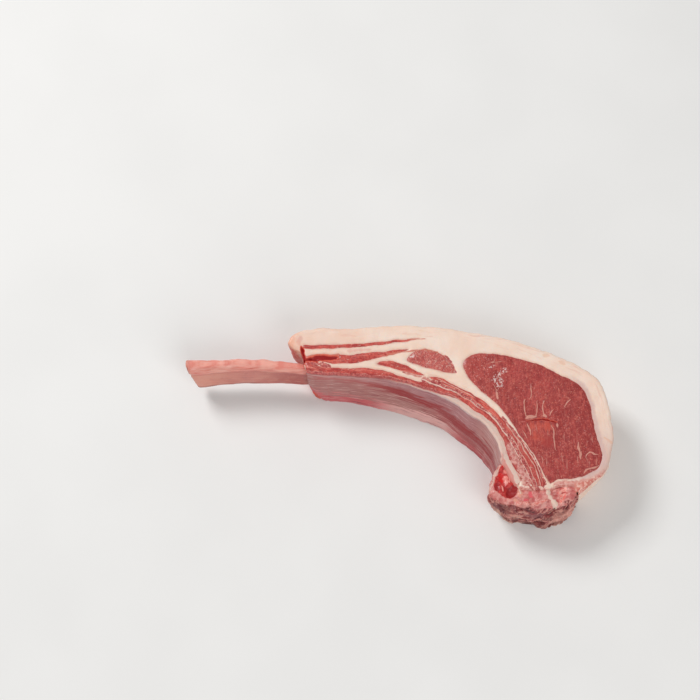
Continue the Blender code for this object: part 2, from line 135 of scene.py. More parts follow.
# Pale lines on the upper face: half width, then points
PALE_LINES = {
    "rib seam": (0.24, [(-2.0, 20.6), (4.8, 18.3), (10.8, 16.8), (14.5, 15.2), (18.1, 13.9),
                        (21.2, 12.6), (23.9, 11.6), (26.0, 10.3), (27.9, 8.8), (30.6, 7.4),
                        (33.0, 5.5), (35.2, 3.9), (37.9, 2.2), (39.7, 0.4), (41.8, -2.2),
                        (43.3, -4.4), (46.2, -8.8)]),
    "strip line": (0.2, [(16.5, 17.4), (20.0, 15.9), (24.0, 13.8), (28.5, 11.2), (33.0, 8.3)]),
    "inner seam": (0.12, [(46.6, -9.6), (49.6, -15.2), (52.4, -20.8), (54.6, -25.4),
                          (57.0, -30.8)]),
    "loin line 1": (0.26, [(46.0, -2.8), (49.8, -9.1), (51.4, -11.6), (53.5, -15.1),
                           (55.4, -18.5), (57.3, -21.8), (58.3, -24.5), (59.0, -27.3),
                           (59.6, -30.6)]),
    "loin line 2": (0.12, [(52.6, -11.4), (55.2, -15.2), (57.4, -19.2), (59.2, -23.4),
                           (60.4, -28.5)]),
    "loin line 3": (0.12, [(47.8, -8.4), (50.4, -13.4), (53.2, -18.6), (55.4, -23.0),
                           (57.0, -27.0), (58.2, -31.0)]),
    "fork stem": (0.65, [(42.2, 8.0), (42.0, 9.9), (41.9, 11.5)]),
    "fork left": (0.2, [(41.9, 11.8), (41.2, 13.4), (40.4, 14.8)]),
    "fork right": (0.2, [(41.9, 11.8), (42.8, 13.2), (43.6, 14.0)]),
    "net 1": (0.13, [(37.6, 23.6), (39.6, 24.6), (41.5, 25.8), (41.9, 27.0)]),
    "net 2": (0.13, [(39.6, 24.5), (42.7, 24.7), (45.0, 25.1)]),
    "ray 1": (0.24, [(54.0, 0.4), (53.6, 4.5), (53.3, 6.6), (54.0, 8.2)]),
    "ray 2": (0.2, [(55.6, 7.8), (56.4, 9.9), (56.6, 12.7), (56.7, 14.8)]),
    "ray 3": (0.22, [(58.4, 0.4), (58.6, 2.9), (59.0, 5.0), (59.0, 7.2)]),
    "ray 4": (0.28, [(61.9, 0.7), (61.5, 2.9), (61.5, 5.6), (62.1, 7.4)]),
    "ray 5": (0.22, [(64.4, 0.4), (65.0, 2.0), (66.4, 3.6)]),
    "knot 1": (0.85, [(54.0, -0.7), (55.0, 0.0), (56.9, -0.1), (58.6, 0.1)]),
    "knot 2": (0.8, [(61.0, 0.1), (62.0, 0.8), (63.1, 0.0)]),
    "knot 3": (0.5, [(67.2, -2.6), (67.5, -4.6)]),
    "pane 1": (0.32, [(54.6, -2.8), (55.4, -4.9), (56.1, -6.9), (56.0, -8.2)]),
    "pane 2": (0.2, [(58.4, -3.4), (58.8, -6.6)]),
    "pane 3": (0.22, [(64.6, -3.6), (65.7, -5.4), (66.0, -9.7), (66.2, -14.6)]),
    "fold": (0.24, [(52.4, -5.6), (53.6, -7.4), (54.5, -9.4)]),
    "long fleck": (0.4, [(76.0, -11.3), (76.1, -13.4), (76.6, -15.8), (76.8, -18.9)]),
    "low fleck": (0.15, [(71.3, -18.6), (71.1, -23.4)]),
    "side fleck": (0.3, [(60.2, -17.2), (61.0, -19.2)]),
    "star": (0.3, [(70.5, 4.5), (72.0, 6.6), (73.5, 8.2)]),
    "wave 1": (0.28, [(78.7, -18.4), (79.4, -16.6), (80.8, -15.3), (81.8, -15.8), (82.9, -16.6),
                     (84.5, -16.8)]),
    "wave 2": (0.28, [(77.9, -25.0), (79.0, -23.5), (81.0, -22.8), (82.9, -22.2), (85.0, -21.2)]),
}
# Dark lines and clefts on the upper face: half width, depth, points. Each is sunk by its depth;
# its deep red core is partly blood and partly painted shade in the crease.
DARK_LINES = {
    "eye tear": (0.3, 0.5, [(54.6, -1.5), (56.9, -1.5), (58.8, -1.2), (60.8, -1.0),
                             (62.7, -1.2), (65.0, -1.6), (67.3, -2.0)]),
    "flank cleft": (0.9, 0.7, [(-39.4, 26.1), (-37.0, 26.3), (-34.2, 26.6), (-31.0, 26.7),
                                (-28.4, 26.9), (-26.2, 27.3)]),
    "end cleft": (0.75, 1.1, [(-41.6, 31.9), (-41.0, 29.5), (-40.6, 27.5), (-40.5, 25.8),
                             (-41.0, 24.0)]),
}

# Soft areas on the upper face, for the material value of that name: half width, then points
AREAS = {
    "fleshy": [(0.4, [(2.0, 20.6), (6.0, 19.3), (10.0, 18.3)]),
               (1.3, [(10.0, 17.2), (19.0, 14.2), (26.0, 10.4), (32.0, 6.6), (38.0, 1.6)]),
               (1.4, [(37.0, 2.4), (43.5, -4.2), (48.0, -11.6), (51.7, -18.6), (55.2, -25.5),
                      (58.2, -31.0)]),
               (0.5, [(44.0, 0.6), (50.7, -8.8), (57.0, -18.2), (60.2, -25.0), (62.1, -29.8)]),
               (1.0, [(-41.0, 24.6), (-37.6, 24.9), (-33.4, 23.9), (-28.6, 22.8)]),
               (0.6, [(19.2, 28.0), (20.6, 26.9), (22.2, 25.0), (23.3, 23.2), (24.0, 21.6),
                      (25.0, 20.2)]),
               (0.7, [(56.0, -28.4), (57.8, -31.0), (59.2, -33.2)]),
               (0.4, [(53.4, -28.0), (55.4, -30.8), (56.8, -32.8)]),
               (0.7, [(60.2, -28.5), (60.9, -31.4)]),
               (0.9, [(74.6, -31.2), (76.2, -32.6)])],
    "salmon": [(0.42, [(-5.0, 28.4), (-1.4, 29.1), (1.7, 29.7), (4.8, 30.0), (8.8, 30.6),
                       (12.1, 30.7), (15.8, 30.1), (17.4, 29.2)]),
               (0.35, [(-39.3, 27.5), (-34.7, 28.2), (-30.0, 28.5), (-25.0, 28.6)]),
               (0.24, [(4.0, 35.3), (8.0, 35.5), (12.0, 35.6)])],
    "bony": [(1.6, [(46.8, -11.6), (48.3, -16.2), (49.6, -19.0), (50.9, -21.8), (52.2, -24.5),
                    (53.4, -27.4), (54.2, -30.4)]),
             (0.9, [(65.4, -29.9), (67.4, -28.9), (70.0, -28.9), (73.4, -29.4), (76.4, -29.0),
                    (79.6, -27.2)])],
    "cream": [(1.3, [(41.9, -8.0), (42.9, -10.7), (43.8, -13.5), (44.7, -16.2)]),
              (0.85, [(44.7, -16.2), (46.1, -19.0), (47.5, -21.8), (48.7, -24.5),
                      (49.6, -27.3), (50.2, -29.6)]),
              (0.4, [(50.2, -29.6), (50.7, -32.0), (51.6, -34.6)]),
              (1.4, [(63.0, -29.6), (63.2, -31.6)]), (0.8, [(62.9, -32.0), (62.7, -34.6)]),
              (0.7, [(62.9, -34.6), (64.4, -36.6)]),
              (1.3, [(64.2, -36.6), (65.4, -38.2), (66.0, -39.6)])],
    "bright": [(2.2, [(55.2, -3.8), (59.6, -4.2), (65.4, -4.0)]),
               (1.6, [(57.2, -5.4), (57.8, -10.4)]), (1.6, [(60.2, -6.0), (60.4, -12.6)])],
    "smooth": [(2.2, [(62.6, -7.6), (63.2, -12.6)])],
    "glint": [(0.9, [(46.0, 22.0), (44.2, 20.2), (42.2, 18.4), (40.6, 16.6)]),
              (0.7, [(40.8, 17.0), (42.2, 14.8), (43.0, 13.0)]),
              (0.7, [(42.6, 18.4), (43.8, 16.0), (44.2, 13.6)]),
              (0.6, [(38.6, 22.4), (41.6, 23.2)]),
              (1.0, [(5.6, 28.6), (6.6, 27.0)]), (0.5, [(-25.6, 28.4), (-24.8, 27.2)])],
    "blush": [(0.8, [(3.0, 20.2), (8.4, 18.6), (13.6, 16.8)]),
              (0.8, [(-22.0, 30.2), (-17.0, 30.2), (-11.0, 30.6)]),
              (1.0, [(-41.5, 36.5), (-43.0, 34.0), (-42.0, 32.4)])],
    "ochre": [(0.9, [(62.0, 28.4), (65.0, 27.8)]), (0.9, [(68.6, 25.6), (71.6, 24.0)]),
              (0.5, [(86.8, -8.6), (88.8, -10.2), (90.6, -11.8)])],
}

# Where the backbone joins the meat
CHINE_GROWN = 0.35  # it swells into the gap left round its solid
CHINE_FOOT = 1.8  # and by so much along its foot, towards the meat
TO_MEAT = (0.25, 0.95, 0.0)
BONE_REACH = 3.4  # the cut face may run on as near as this to its solid
BONE_BED = 3.2  # by so much, dipping under the bone, but not inside the outlines below
BED_DIP = 1.8
RIM_AT_BONE = 1.3  # an edge of the face as near as this to the backbone isn't an outer rim
BARE_BONE = (
    [(38.0, -17.2), (42.2, -17.4), (43.6, -20.4), (45.2, -23.4), (46.2, -26.4), (47.2, -29.5),
     (47.4, -34.0), (38.0, -34.0)],
    [(74.8, -33.4), (76.4, -32.2), (78.6, -30.3), (82.4, -27.0), (88.0, -34.0), (80.0, -42.0),
     (72.5, -42.0), (72.5, -35.5)],
)
# Its marrow hollow, and the areas of its sawn face: half width, then points
CHINE_HOLLOW = [(44.0, -19.1), (41.8, -22.2), (40.9, -25.7), (40.0, -29.6), (40.4, -32.3),
                (42.0, -33.6), (44.5, -35.4), (47.0, -36.2), (48.7, -34.9), (49.8, -33.2),
                (49.4, -30.5), (48.2, -27.9), (46.7, -24.8), (45.4, -22.2)]
CHINE_AREAS = {
    "clot": [(0.9, [(41.2, -28.6), (41.4, -30.6), (41.6, -33.0)]),
             (1.8, [(48.4, -30.0), (47.6, -32.8), (45.6, -35.2)])],
    "blood": [(1.0, [(43.0, -24.4), (43.2, -26.4), (43.6, -28.8)]),
              (0.9, [(44.2, -19.8), (45.0, -22.0)])],
    "light": [(1.3, [(44.6, -22.6), (46.4, -24.6)]), (1.0, [(45.0, -25.4), (45.4, -29.6)]),
              (0.3, [(43.4, -29.6), (43.8, -32.8)]), (0.3, [(46.6, -26.4), (46.9, -29.0)])],
    "lip": [(0.75, [(44.2, -19.4), (41.8, -22.6), (40.3, -25.6), (39.4, -29.0),
                   (38.3, -32.3), (37.8, -35.0)])],
    "peach": [(1.2, [(48.2, -36.4), (50.6, -37.4)]), (1.2, [(50.6, -32.0), (51.0, -35.4)])],
    "rose": [(1.1, [(54.6, -33.2), (56.2, -35.0)]), (0.8, [(52.2, -36.6), (54.2, -36.6)])],
    "brow": [(0.8, [(48.6, -38.2), (51.5, -37.9), (54.8, -38.4)]),
             (0.7, [(55.5, -38.8), (58.2, -38.0), (62.6, -36.6)])],
    "sponge": [(4.2, [(68.0, -33.0), (70.6, -33.6)])],
    "curl": [(0.4, [(64.6, -34.0), (65.6, -34.8), (66.8, -34.4)]),
             (0.35, [(66.0, -31.4), (67.6, -30.8), (69.6, -31.2)]),
             (0.35, [(68.4, -33.4), (70.0, -32.8), (71.4, -33.6)]),
             (0.6, [(66.4, -36.2), (67.2, -37.6)])],
}
# How far they rise, and its relief: height of the lumps, their size and the seed of the noise
CHINE_RISE = {"cream": 0.3, "cavity": -0.4, "clot": -0.3, "light": 0.4, "brow": 1.0,
              "lip": 0.5, "peach": 0.4, "curl": -0.35}
CHINE_LUMPS = ((0.40, 3.4, 0.0), (0.20, 1.7, 5.0), (0.10, 0.8, 9.0))
CHINE_FRONT_LUMPS = ((1.0, 5.5, 13.0),)
CHINE_RIDGES = ((1.1, 5.0, 11.0), (1.0, 2.6, 17.0), (0.35, 1.2, 19.0))
RIDGE_DRAWN = (0.4, 0.6, 1.5)  # they lie flat
RIDGE_BOWL = (54.0, 0.045)  # and hang towards this x, by so much of the distance squared
CHINE_ROOT = 0.5  # its end by the membrane swells by so much
FOOT_LIFT = 0.15
OFF_FACE = 4.0  # an area of the sawn face ends where the bone turns down
# And spots on its front: middle x and z, half length along x and z. The shade spots are painted
# shade on the front.
CHINE_FRONT = {
    "shade": [(44.9, 16.5, 2.6, 5.5), (60.6, 6.4, 1.6, 2.2), (63.9, 10.8, 1.6, 1.6),
              (52.0, 8.0, 2.6, 2.0)],
    "mauve": [(57.6, 15.4, 4.4, 4.0), (43.0, 14.0, 3.0, 5.0)],
    "peach": [(49.0, 10.5, 3.4, 4.0), (69.0, 9.5, 5.4, 8.0)],
    "knob": [(42.9, 4.5, 1.4, 5.0), (46.6, 2.0, 2.6, 2.0), (55.7, 5.0, 1.2, 1.6),
             (60.3, 1.2, 1.4, 1.8), (67.5, 1.2, 2.6, 1.6), (51.5, 1.6, 1.6, 1.2)],
}

# The rib: how its height is measured, where it starts to be bare, how much thinner it is where
# the meat hides it, and its relief: lumps, streaks along it and shreds on its upper edge
STATION_STEP = 2.0
STATION_HALF = 4.0
RIB_BARE = (-36.0, -42.0)
RIB_THINNED = 0.8
RIB_LUMPS = ((0.25, 6.0, 0.0),)
RIB_STREAKS = ((0.12, 1.4, 4.0),)
RIB_SHREDS = ((0.45, 2.4, 6.0), (0.15, 0.9, 2.0))
STREAK_DRAWN = (0.25, 0.6, 1.0)
SHRED_DRAWN = (0.4, 0.8, 1.0)

# Bands down the hollow side: place along x, then the lower edges of the grey membrane, the red
# streak and the beige rib cover, as shares of the way down
WALL_BANDS = [
    (-40.0, 0.10, 0.14, 0.72), (-16.0, 0.14, 0.22, 0.78), (1.0, 0.22, 0.42, 0.76),
    (9.5, 0.27, 0.50, 0.75), (18.0, 0.30, 0.46, 0.68), (26.5, 0.38, 0.66, 0.80),
    (35.0, 0.42, 0.68, 0.86), (42.0, 0.46, 0.70, 0.90),
]

# Inputs of a noise, as the finishes give them: a pattern's scale is 1 over its size in mm
NOISE = ("Vector", "Scale", "Detail", "Roughness", "Distortion")
MEAT_IOR = 1.4  # of meat, fat and bone, all wet

# The stage: the camera looks down at 70 degrees; the lights' places and sizes are in metres
CAMERA_LENS = 131.6
CAMERA_PLACE = (-20.6, -345.2, 1054.2)
CAMERA_TURN = math.radians(20.0)
SOFTBOXES = (("key_softbox", (-0.75, 0.7, 0.95), 0.5, 11.0),
             ("fill_softbox", (0.5, -0.9, 0.8), 0.9, 6.5))
ROOM_LIGHT = 0.42


def linear(hex_colour):
    """An sRGB hex value as the linear colour that Blender works in."""
    channels = []
    for i in (0, 2, 4):
        value = int(hex_colour[i:i + 2], 16) / 255.0
        channels.append(value / 12.92 if value <= 0.04045 else ((value + 0.055) / 1.055) ** 2.4)
    return (*channels, 1.0)


def ramp(low, high, value):
    """0 below low, 1 above high, smooth between; low may lie above high. Takes arrays too."""
    t = np.clip((value - low) / (high - low), 0.0, 1.0)
    return t * t * (3.0 - 2.0 * t)


def lean(x, y, z):
    """Where points of the upper face's plan lie at height z of the slanted slice."""
    at_chine = ramp(*CHINE_RAMP, y)
    corner = ramp(*CORNER_RAMP_X, x) * ramp(*CORNER_RAMP_Y, y)
    shift_x = LEAN_X + LEAN_X_AT_FLANK * ramp(*FLANK_RAMP, x) + LEAN_X_AT_CHINE * at_chine
    shift_y = (LEAN_Y_AT_FLANK + LEAN_Y_AT_LOIN * ramp(*LOIN_RAMP, x)
               + LEAN_Y_AT_CHINE * at_chine + LEAN_Y_AT_CORNER * corner)
    depth = (THICKNESS - z) / THICKNESS
    return x + shift_x * depth, y + shift_y * depth


def lumps(points, size, seed=0.0):
    """Smooth noise from -1 to 1 at each point, with lumps of about that size."""
    return np.array([noise.noise(Vector(p) / size + Vector((seed, -seed, seed)))
                     for p in points])


def shape(points, rows):
    """Lumps of several sizes on one another, each by its height, size and seed."""
    return sum(height * lumps(points, size, seed) for height, size, seed in rows)


# ---------------------------------------------------------------- outlines and distances


def welded(name):
    """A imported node's mesh, with its loose triangles joined."""
    bm = bmesh.new()
    bm.from_mesh(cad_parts[name].data)
    bmesh.ops.remove_doubles(bm, verts=bm.verts, dist=WELD)
    return bm


def upper_outline(name):
    """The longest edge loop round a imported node's upper cut face, as plan points."""
    bm = welded(name)
    level = THICKNESS * MM - WELD
    links = {}
    for edge in bm.edges:
        flat = [all(v.co.z > level for v in face.verts) for face in edge.link_faces]
        if flat.count(True) == 1:
            a, b = edge.verts
            links.setdefault(a, []).append(b)
            links.setdefault(b, []).append(a)
    loops = []
    while links:
        loop = [next(iter(links))]
        while loop[-1] in links:
            around = [v for v in links.pop(loop[-1]) if v in links]
            if not around:
                break
            loop.append(around[0])
        loops.append([v.co.to_2d() / MM for v in loop])
    bm.free()
    longest = max(loops, key=lambda loop: sum((a - b).length for a, b in zip(loop, loop[1:])))
    area = sum(a.cross(b) for a, b in zip(longest, longest[1:] + longest[:1]))
    return longest if area > 0 else longest[::-1]


def flowing(points, closed, step):
    """A smooth line through the points, with sharp corners kept, as points a step apart."""
    points = [Vector(p) for p in points]
    points = [p for p, q in zip(points, points[1:] + points[:1]) if (p - q).length > SAME_PLACE]
    count = len(points)
    line = []
    for i in range(count if closed else count - 1):
        b = points[i]
        c = points[(i + 1) % count]
        before = points[i - 1] if closed or i > 0 else 2.0 * b - c
        after = points[(i + 2) % count] if closed or i < count - 2 else 2.0 * c - b
        span = (c - b).length
        along = (c - b) / span
        into = (b - before).normalized()
        out = (after - c).normalized()
        start = (into + along).normalized() if into.dot(along) > CORNER_COSINE else along
        end = (along + out).normalized() if along.dot(out) > CORNER_COSINE else along
        pieces = max(1, round(span / step))
        for j in range(pieces):
            t = j / pieces
            line.append(b * (2 * t**3 - 3 * t**2 + 1) + c * (3 * t**2 - 2 * t**3)
                        + start * span * (t**3 - 2 * t**2 + t) + end * span * (t**3 - t**2))
    if not closed:
        line.append(points[-1])
    return np.array(line)


def inside(outline, points):
    """Which points lie inside a closed outline."""
    hit = np.zeros(len(points), bool)
    x, y = points[:, 0], points[:, 1]
    for (ax, ay), (bx, by) in zip(outline, np.roll(outline, -1, 0)):
        if ay != by:
            crosses = (ay > y) != (by > y)
            hit ^= crosses & (x < (bx - ax) * (y - ay) / (by - ay) + ax)
    return hit


def to_line(line, points, closed=False):
    """Distance of each point to a line, and how far along the line its nearest place is."""
    best = np.full(len(points), np.inf)
    place = np.zeros(len(points))
    run = 0.0
    for a, b in zip(line, np.roll(line, -1, 0) if closed else line[1:]):
        step = b - a
        length = math.hypot(*step) or TINY
        t = np.clip((points - a) @ step / length**2, 0.0, 1.0)
        away = np.hypot(*(points - a - t[:, None] * step).T)
        nearer = away < best
        best[nearer] = away[nearer]
        place[nearer] = run + t[nearer] * length
        run += length
    return best, place


def thread(points, line, half, run_out):
    """Distance to the edge of a band along a line, finer for a fine band; its width is uneven
    and it runs out at both ends."""
    away, place = to_line(line, points)
    edge = np.full(len(away), FAR)
    near = np.flatnonzero(away < half + THREAD_REACH)
    place = place[near]
    length = np.hypot(*np.diff(line, axis=0).T).sum()
    taper = np.clip(np.minimum(place, length - place) / run_out, 0.0, 1.0)
    share, size = THREAD_UNEVEN
    uneven = 1.0 + share * lumps([(p, half * 40.0 + length, 0.0) for p in place], size)
    tapered = THREAD_TIP + (1.0 - THREAD_TIP) * np.sqrt(taper)
    edge[near] = away[near] - half * tapered * uneven
    return edge / min(1.0, half / PLAIN_HALF)


def area_value(points, parts):
    """Distance to the edge of the nearest of an area's bands."""
    return np.min([thread(points, flowing(line, False, AREA_STEP), half, 1.2 * min(half, 1.0))
                   for half, line in parts], 0)


def nudged(outline, nudges):
    """An outline moved by a few steps, each fading out over its reach."""
    moved = outline.copy()
    for place, step, reach in nudges:
        away = np.hypot(*(outline - place).T)
        moved += np.exp(-(away / reach)**2)[:, None] * step
    return moved


def search_tree(points):
    """A tree that finds the nearest of some plan points."""
    tree = kdtree.KDTree(len(points))
    for i, point in enumerate(points):
        tree.insert((*point, 0.0), i)
    tree.balance()
    return tree


def side_of(line, to_left):
    """Unit vectors across a closed line at its points, to its left or its right."""
    x, y = (np.roll(line, -1, 0) - np.roll(line, 1, 0)).T
    across = np.stack([-y, x] if to_left else [y, -x], 1)
    if not to_left:
        for _ in range(2):
            across = across + np.roll(across, 1, 0) + np.roll(across, -1, 0)
    return across / np.maximum(np.hypot(*across.T), TINY)[:, None]


def free_edges(triangles):
    """The edges that only one triangle has, each in its triangle's direction."""
    edges = [pair for a, b, c in triangles for pair in ((a, b), (b, c), (c, a))]
    known = set(edges)
    return [pair for pair in edges if pair[::-1] not in known]


def border_loops(triangles):
    """The closed loops of edges round a set of triangles."""
    following = {}
    for a, b in free_edges(triangles):
        following.setdefault(a, []).append(b)
    loops = []
    while following:
        loop = [next(iter(following))]
        while True:
            point = following[loop[-1]].pop()
            if not following[loop[-1]]:
                del following[loop[-1]]
            if point == loop[0]:
                break
            loop.append(point)
        loops.append(np.array(loop))
    return loops


# ---------------------------------------------------------------- the cut face


class CutFace:
    """One fine triangulation of the upper cut face, shared by all that it shows."""

    def __init__(self, step):
        self.outlines = {name: flowing(upper_outline(name), True, step) for name in SLICES}
        for name in MUSCLES:
            self.outlines[name] = nudged(self.outlines[name], NUDGES + OWN_NUDGES.get(name, []))
        self.pale = {name: flowing(points, False, step) for name, (_, points) in
                     PALE_LINES.items()}
        self.dark = {name: flowing(points, False, step) for name, (_, _, points) in
                     DARK_LINES.items()}
        bm = welded("chine_bone")
        self.bone = BVHTree.FromBMesh(bm)
        bm.free()
        self.triangulate(step)
        self.sort_out()
        self.measure()

    def triangulate(self, step):
        """An even triangulation that keeps every outline, line and area as edges."""
        points = []
        links = []
        drawn = [flowing(line, False, step) for parts in AREAS.values() for _, line in parts]
        for line in [*self.outlines.values(), *self.pale.values(), *self.dark.values(), *drawn]:
            first = len(points)
            points.extend(line)
            links.extend((first + i, first + i + 1) for i in range(len(line) - 1))
            if any(line is outline for outline in self.outlines.values()):
                links.append((first + len(line) - 1, first))
        tree = search_tree(points)
        for name in ("fat_cap", "inner_membrane"):
            line = self.outlines[name]
            for away in RIM_RINGS:
                points.extend(p for p in line + side_of(line, True) * away
                              if tree.find((*p, 0.0))[2] > RIM_ROOM)
        tree = search_tree(points)
        every = np.concatenate(list(self.outlines.values()))
        low, high = every.min(0), every.max(0)
        row_height = step * math.sqrt(0.75)
        grid = []
        for row in range(int((high[1] - low[1]) / row_height)):
            for column in range(int((high[0] - low[0]) / step)):
                x = low[0] + (column + 0.5 * (row % 2)) * step
                y = low[1] + row * row_height
                if tree.find((x, y, 0.0))[2] > GRID_ROOM * step:
                    grid.append((x, y))
        grid = np.array(grid)
        covered = self.at_bone(grid)
        for outline in self.outlines.values():
            covered |= inside(outline, grid)
        points = [Vector(p) for p in (*points, *grid[covered])]
        made = delaunay_2d_cdt(points, links, [], 0, 1e-4)
        self.plan = np.array(made[0])
        self.triangles = np.array(made[2])

    def sort_out(self):
        """Gives each triangle to a slice; what lies in a gap between two goes to the fat."""
        middles = self.plan[self.triangles].mean(1)
        owner = np.full(len(middles), -1)
        for i, name in enumerate(SLICES):
            free = owner < 0
            owner[free] = np.where(inside(self.outlines[name], middles[free]), i, -1)
        left = np.flatnonzero(owner < 0)
        away = np.stack([to_line(self.outlines[name], middles[left], True)[0] for name in SLICES])
        nearest = away.argmin(0)
        away.sort(0)
        owner[left[away[1] < GAP_REACH]] = SLICES.index("fat_cap")
        bed = self.at_bone(middles[left]) & (away[0] < BONE_BED)
        owner[left[bed]] = nearest[bed]
        self.triangles = self.triangles[owner >= 0]
        self.owner = owner[owner >= 0]
        used, renumbered = np.unique(self.triangles, return_inverse=True)
        self.triangles = renumbered.reshape(-1, 3)
        self.plan = self.plan[used]

    def at_bone(self, points):
        """Which points of the upper face run on into the backbone."""
        near = self.from_bone(points) < BONE_REACH
        for outline in BARE_BONE:
            near &= ~inside(outline, points)
        return near

    def from_bone(self, points):
        """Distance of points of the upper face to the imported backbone."""
        return np.array([self.bone.find_nearest(Vector((*p, THICKNESS - 1.0)) * MM)[3] / MM
                         for p in points])

    def measure(self):
        """Distances that the shape and the materials need, at every point of the face."""
        plan = self.plan
        self.bone_away = self.from_bone(plan)
        outside = np.ones(len(plan), bool)
        for outline in self.outlines.values():
            outside &= ~inside(outline, plan)
        self.beyond = np.zeros(len(plan))
        self.beyond[outside] = np.min([to_line(line, plan[outside], True)[0]
                                       for line in self.outlines.values()], 0)
        at_bone = self.bone_away < RIM_AT_BONE
        rim = [(a, b) for a, b in free_edges(self.triangles) if not (at_bone[a] and at_bone[b])]
        self.on_rim = np.zeros(len(plan), bool)
        self.on_rim[np.unique(rim)] = True
        tree = search_tree([(plan[a] + plan[b]) / 2 for a, b in rim])
        self.skin = np.array([tree.find((*p, 0.0))[2] for p in plan])
        self.skin[self.on_rim] = 0.0
        self.border = {name: to_line(self.outlines[name], plan, True)[0] for name in MUSCLES}
        self.edge = np.min(list(self.border.values()), 0)
        self.inner = to_line(self.outlines["inner_membrane"], plan, True)
        self.outer = to_line(self.outlines["fat_cap"], plan, True)
        self.line = np.min([thread(plan, line, PALE_LINES[name][0], PALE_RUN_OUT)
                            for name, line in self.pale.items()], 0)
        self.area = {key: area_value(plan, parts) for key, parts in AREAS.items()}
        self.cleft = np.zeros(len(plan))
        self.dark_line = np.full(len(plan), FAR)
        for name, (half, depth, _) in DARK_LINES.items():
            away = thread(plan, self.dark[name], half, DARK_RUN_OUT)
            self.cleft = np.maximum(self.cleft, depth * ramp(0.5, -0.9, away))
            self.dark_line = np.minimum(self.dark_line, away)

    def relief(self, side):
        """Height of the cut face over its level: shallow lumps, a groove at each muscle's edge,
        the seams and clefts, and the rounded rim. Side is 0 on top and 1 on the underside."""
        owner = np.zeros(len(self.plan), int)
        owner[self.triangles] = self.owner[:, None]
        rise = np.where(owner < len(MUSCLES), MUSCLE_RISE, FAT_RISE)
        height = shape([(x, y, UNDERSIDE_AWAY * side) for x, y in self.plan], FACE_LUMPS)
        height += rise * ramp(0.0, 2.0, self.edge)
        height -= GROOVE * np.exp(-(self.edge / GROOVE_HALF)**2)
        if side == 0:
            height += LINE_RISE * ramp(0.5, -0.2, self.line) - self.cleft
        height -= BED_DIP * ramp(0.3, 1.8, self.beyond)
        rim = bpy.context.scene.chop_sizes.rim / MM * (1.0 + 1.4 * ramp(4.0, 9.0, self.inner[0]))
        drop = np.clip(self.skin / rim, 0.0, 1.0)
        return height - rim * (1.0 - np.sqrt(1.0 - (1.0 - drop)**2))


_made = {}


def cut_face():
    """The cut face and its relief on top and on the underside, made once."""
    if "face" not in _made:
        face = CutFace(bpy.context.scene.chop_sizes.step / MM)
        _made["face"] = face, face.relief(0), face.relief(1)
    return _made["face"]


def wobbled(points, amount, side):
    """Plan points moved a little, the same way wherever two pieces meet."""
    flat = [(x, y, UNDERSIDE_AWAY * side) for x, y in points]
    for share, size, *seeds in WOBBLES:
        points = points + share * amount * np.stack([lumps(flat, size, s) for s in seeds], 1)
    return points


def rib_span(x):
    """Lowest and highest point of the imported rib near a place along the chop."""
    if "rib" not in _made:
        points = np.array([v.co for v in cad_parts["rib_bone"].data.vertices]) / MM
        stations = np.arange(points[:, 0].min(), points[:, 0].max(), STATION_STEP)
        spans = [points[abs(points[:, 0] - s) < STATION_HALF][:, 2] for s in stations]
        _made["rib"] = stations, [s.min() for s in spans], [s.max() for s in spans]
    stations, lows, highs = _made["rib"]
    return np.interp(x, stations, lows), np.interp(x, stations, highs)


# ---------------------------------------------------------------- writing meshes


def placed(name, mesh):
    """A new object in the scene, the only one that is selected, and active."""
    obj = bpy.data.objects.new(name, mesh)
    bpy.context.scene.collection.objects.link(obj)
    bpy.ops.object.select_all(action="DESELECT")
    obj.select_set(True)
    bpy.context.view_layer.objects.active = obj
    return obj


def as_piece(name, points, faces, values, material, replaced):
    """A finished piece from points in mm, its faces and its named values at each point."""
    mesh = bpy.data.meshes.new(name)
    mesh.from_pydata([tuple(p) for p in np.asarray(points) * MM], [], faces)
    mesh.update()
    for key, value in values.items():
        layer = mesh.attributes.new(key, "FLOAT", "POINT")
        layer.data.foreach_set("value", np.asarray(value, np.float32))
    mesh.materials.append(material)
    obj = placed(name, mesh)
    bpy.ops.object.shade_smooth_by_angle(angle=SMOOTH_ANGLE)
    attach(obj, "root")
    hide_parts(replaced)


def wall_relief(kind, places, downs, share):
    """How far a wall stands out from its straight line, in mm."""

    def bumps(stretch, size, seed=0.0, layer=0.0):
        """Lumps drawn out along the wall."""
        return lumps([(p / stretch, d, layer) for p, d in zip(places, downs)], size, seed)

    belly = 4.0 * share * (1.0 - share)
    if kind == "inner_membrane":
        groove = np.exp(-((share - 0.12) / 0.09)**2)
        over_rib = np.exp(-((share - 0.55) / 0.22)**2)
        return (0.25 * bumps(9.0, 2.0, 4.0) + 0.25 * bumps(2.4, 5.0)
                - 0.35 * groove + 0.45 * over_rib)
    if kind == "fat_cap":
        return belly * (0.6 + 0.8 * bumps(1.0, 7.0, 0.0, 3.0) + 0.5 * bumps(1.0, 3.6, 2.0, 3.0)
                        + 0.2 * bumps(5.0, 1.6, 9.0))
    return 0.2 * belly * bumps(2.4, 4.0)


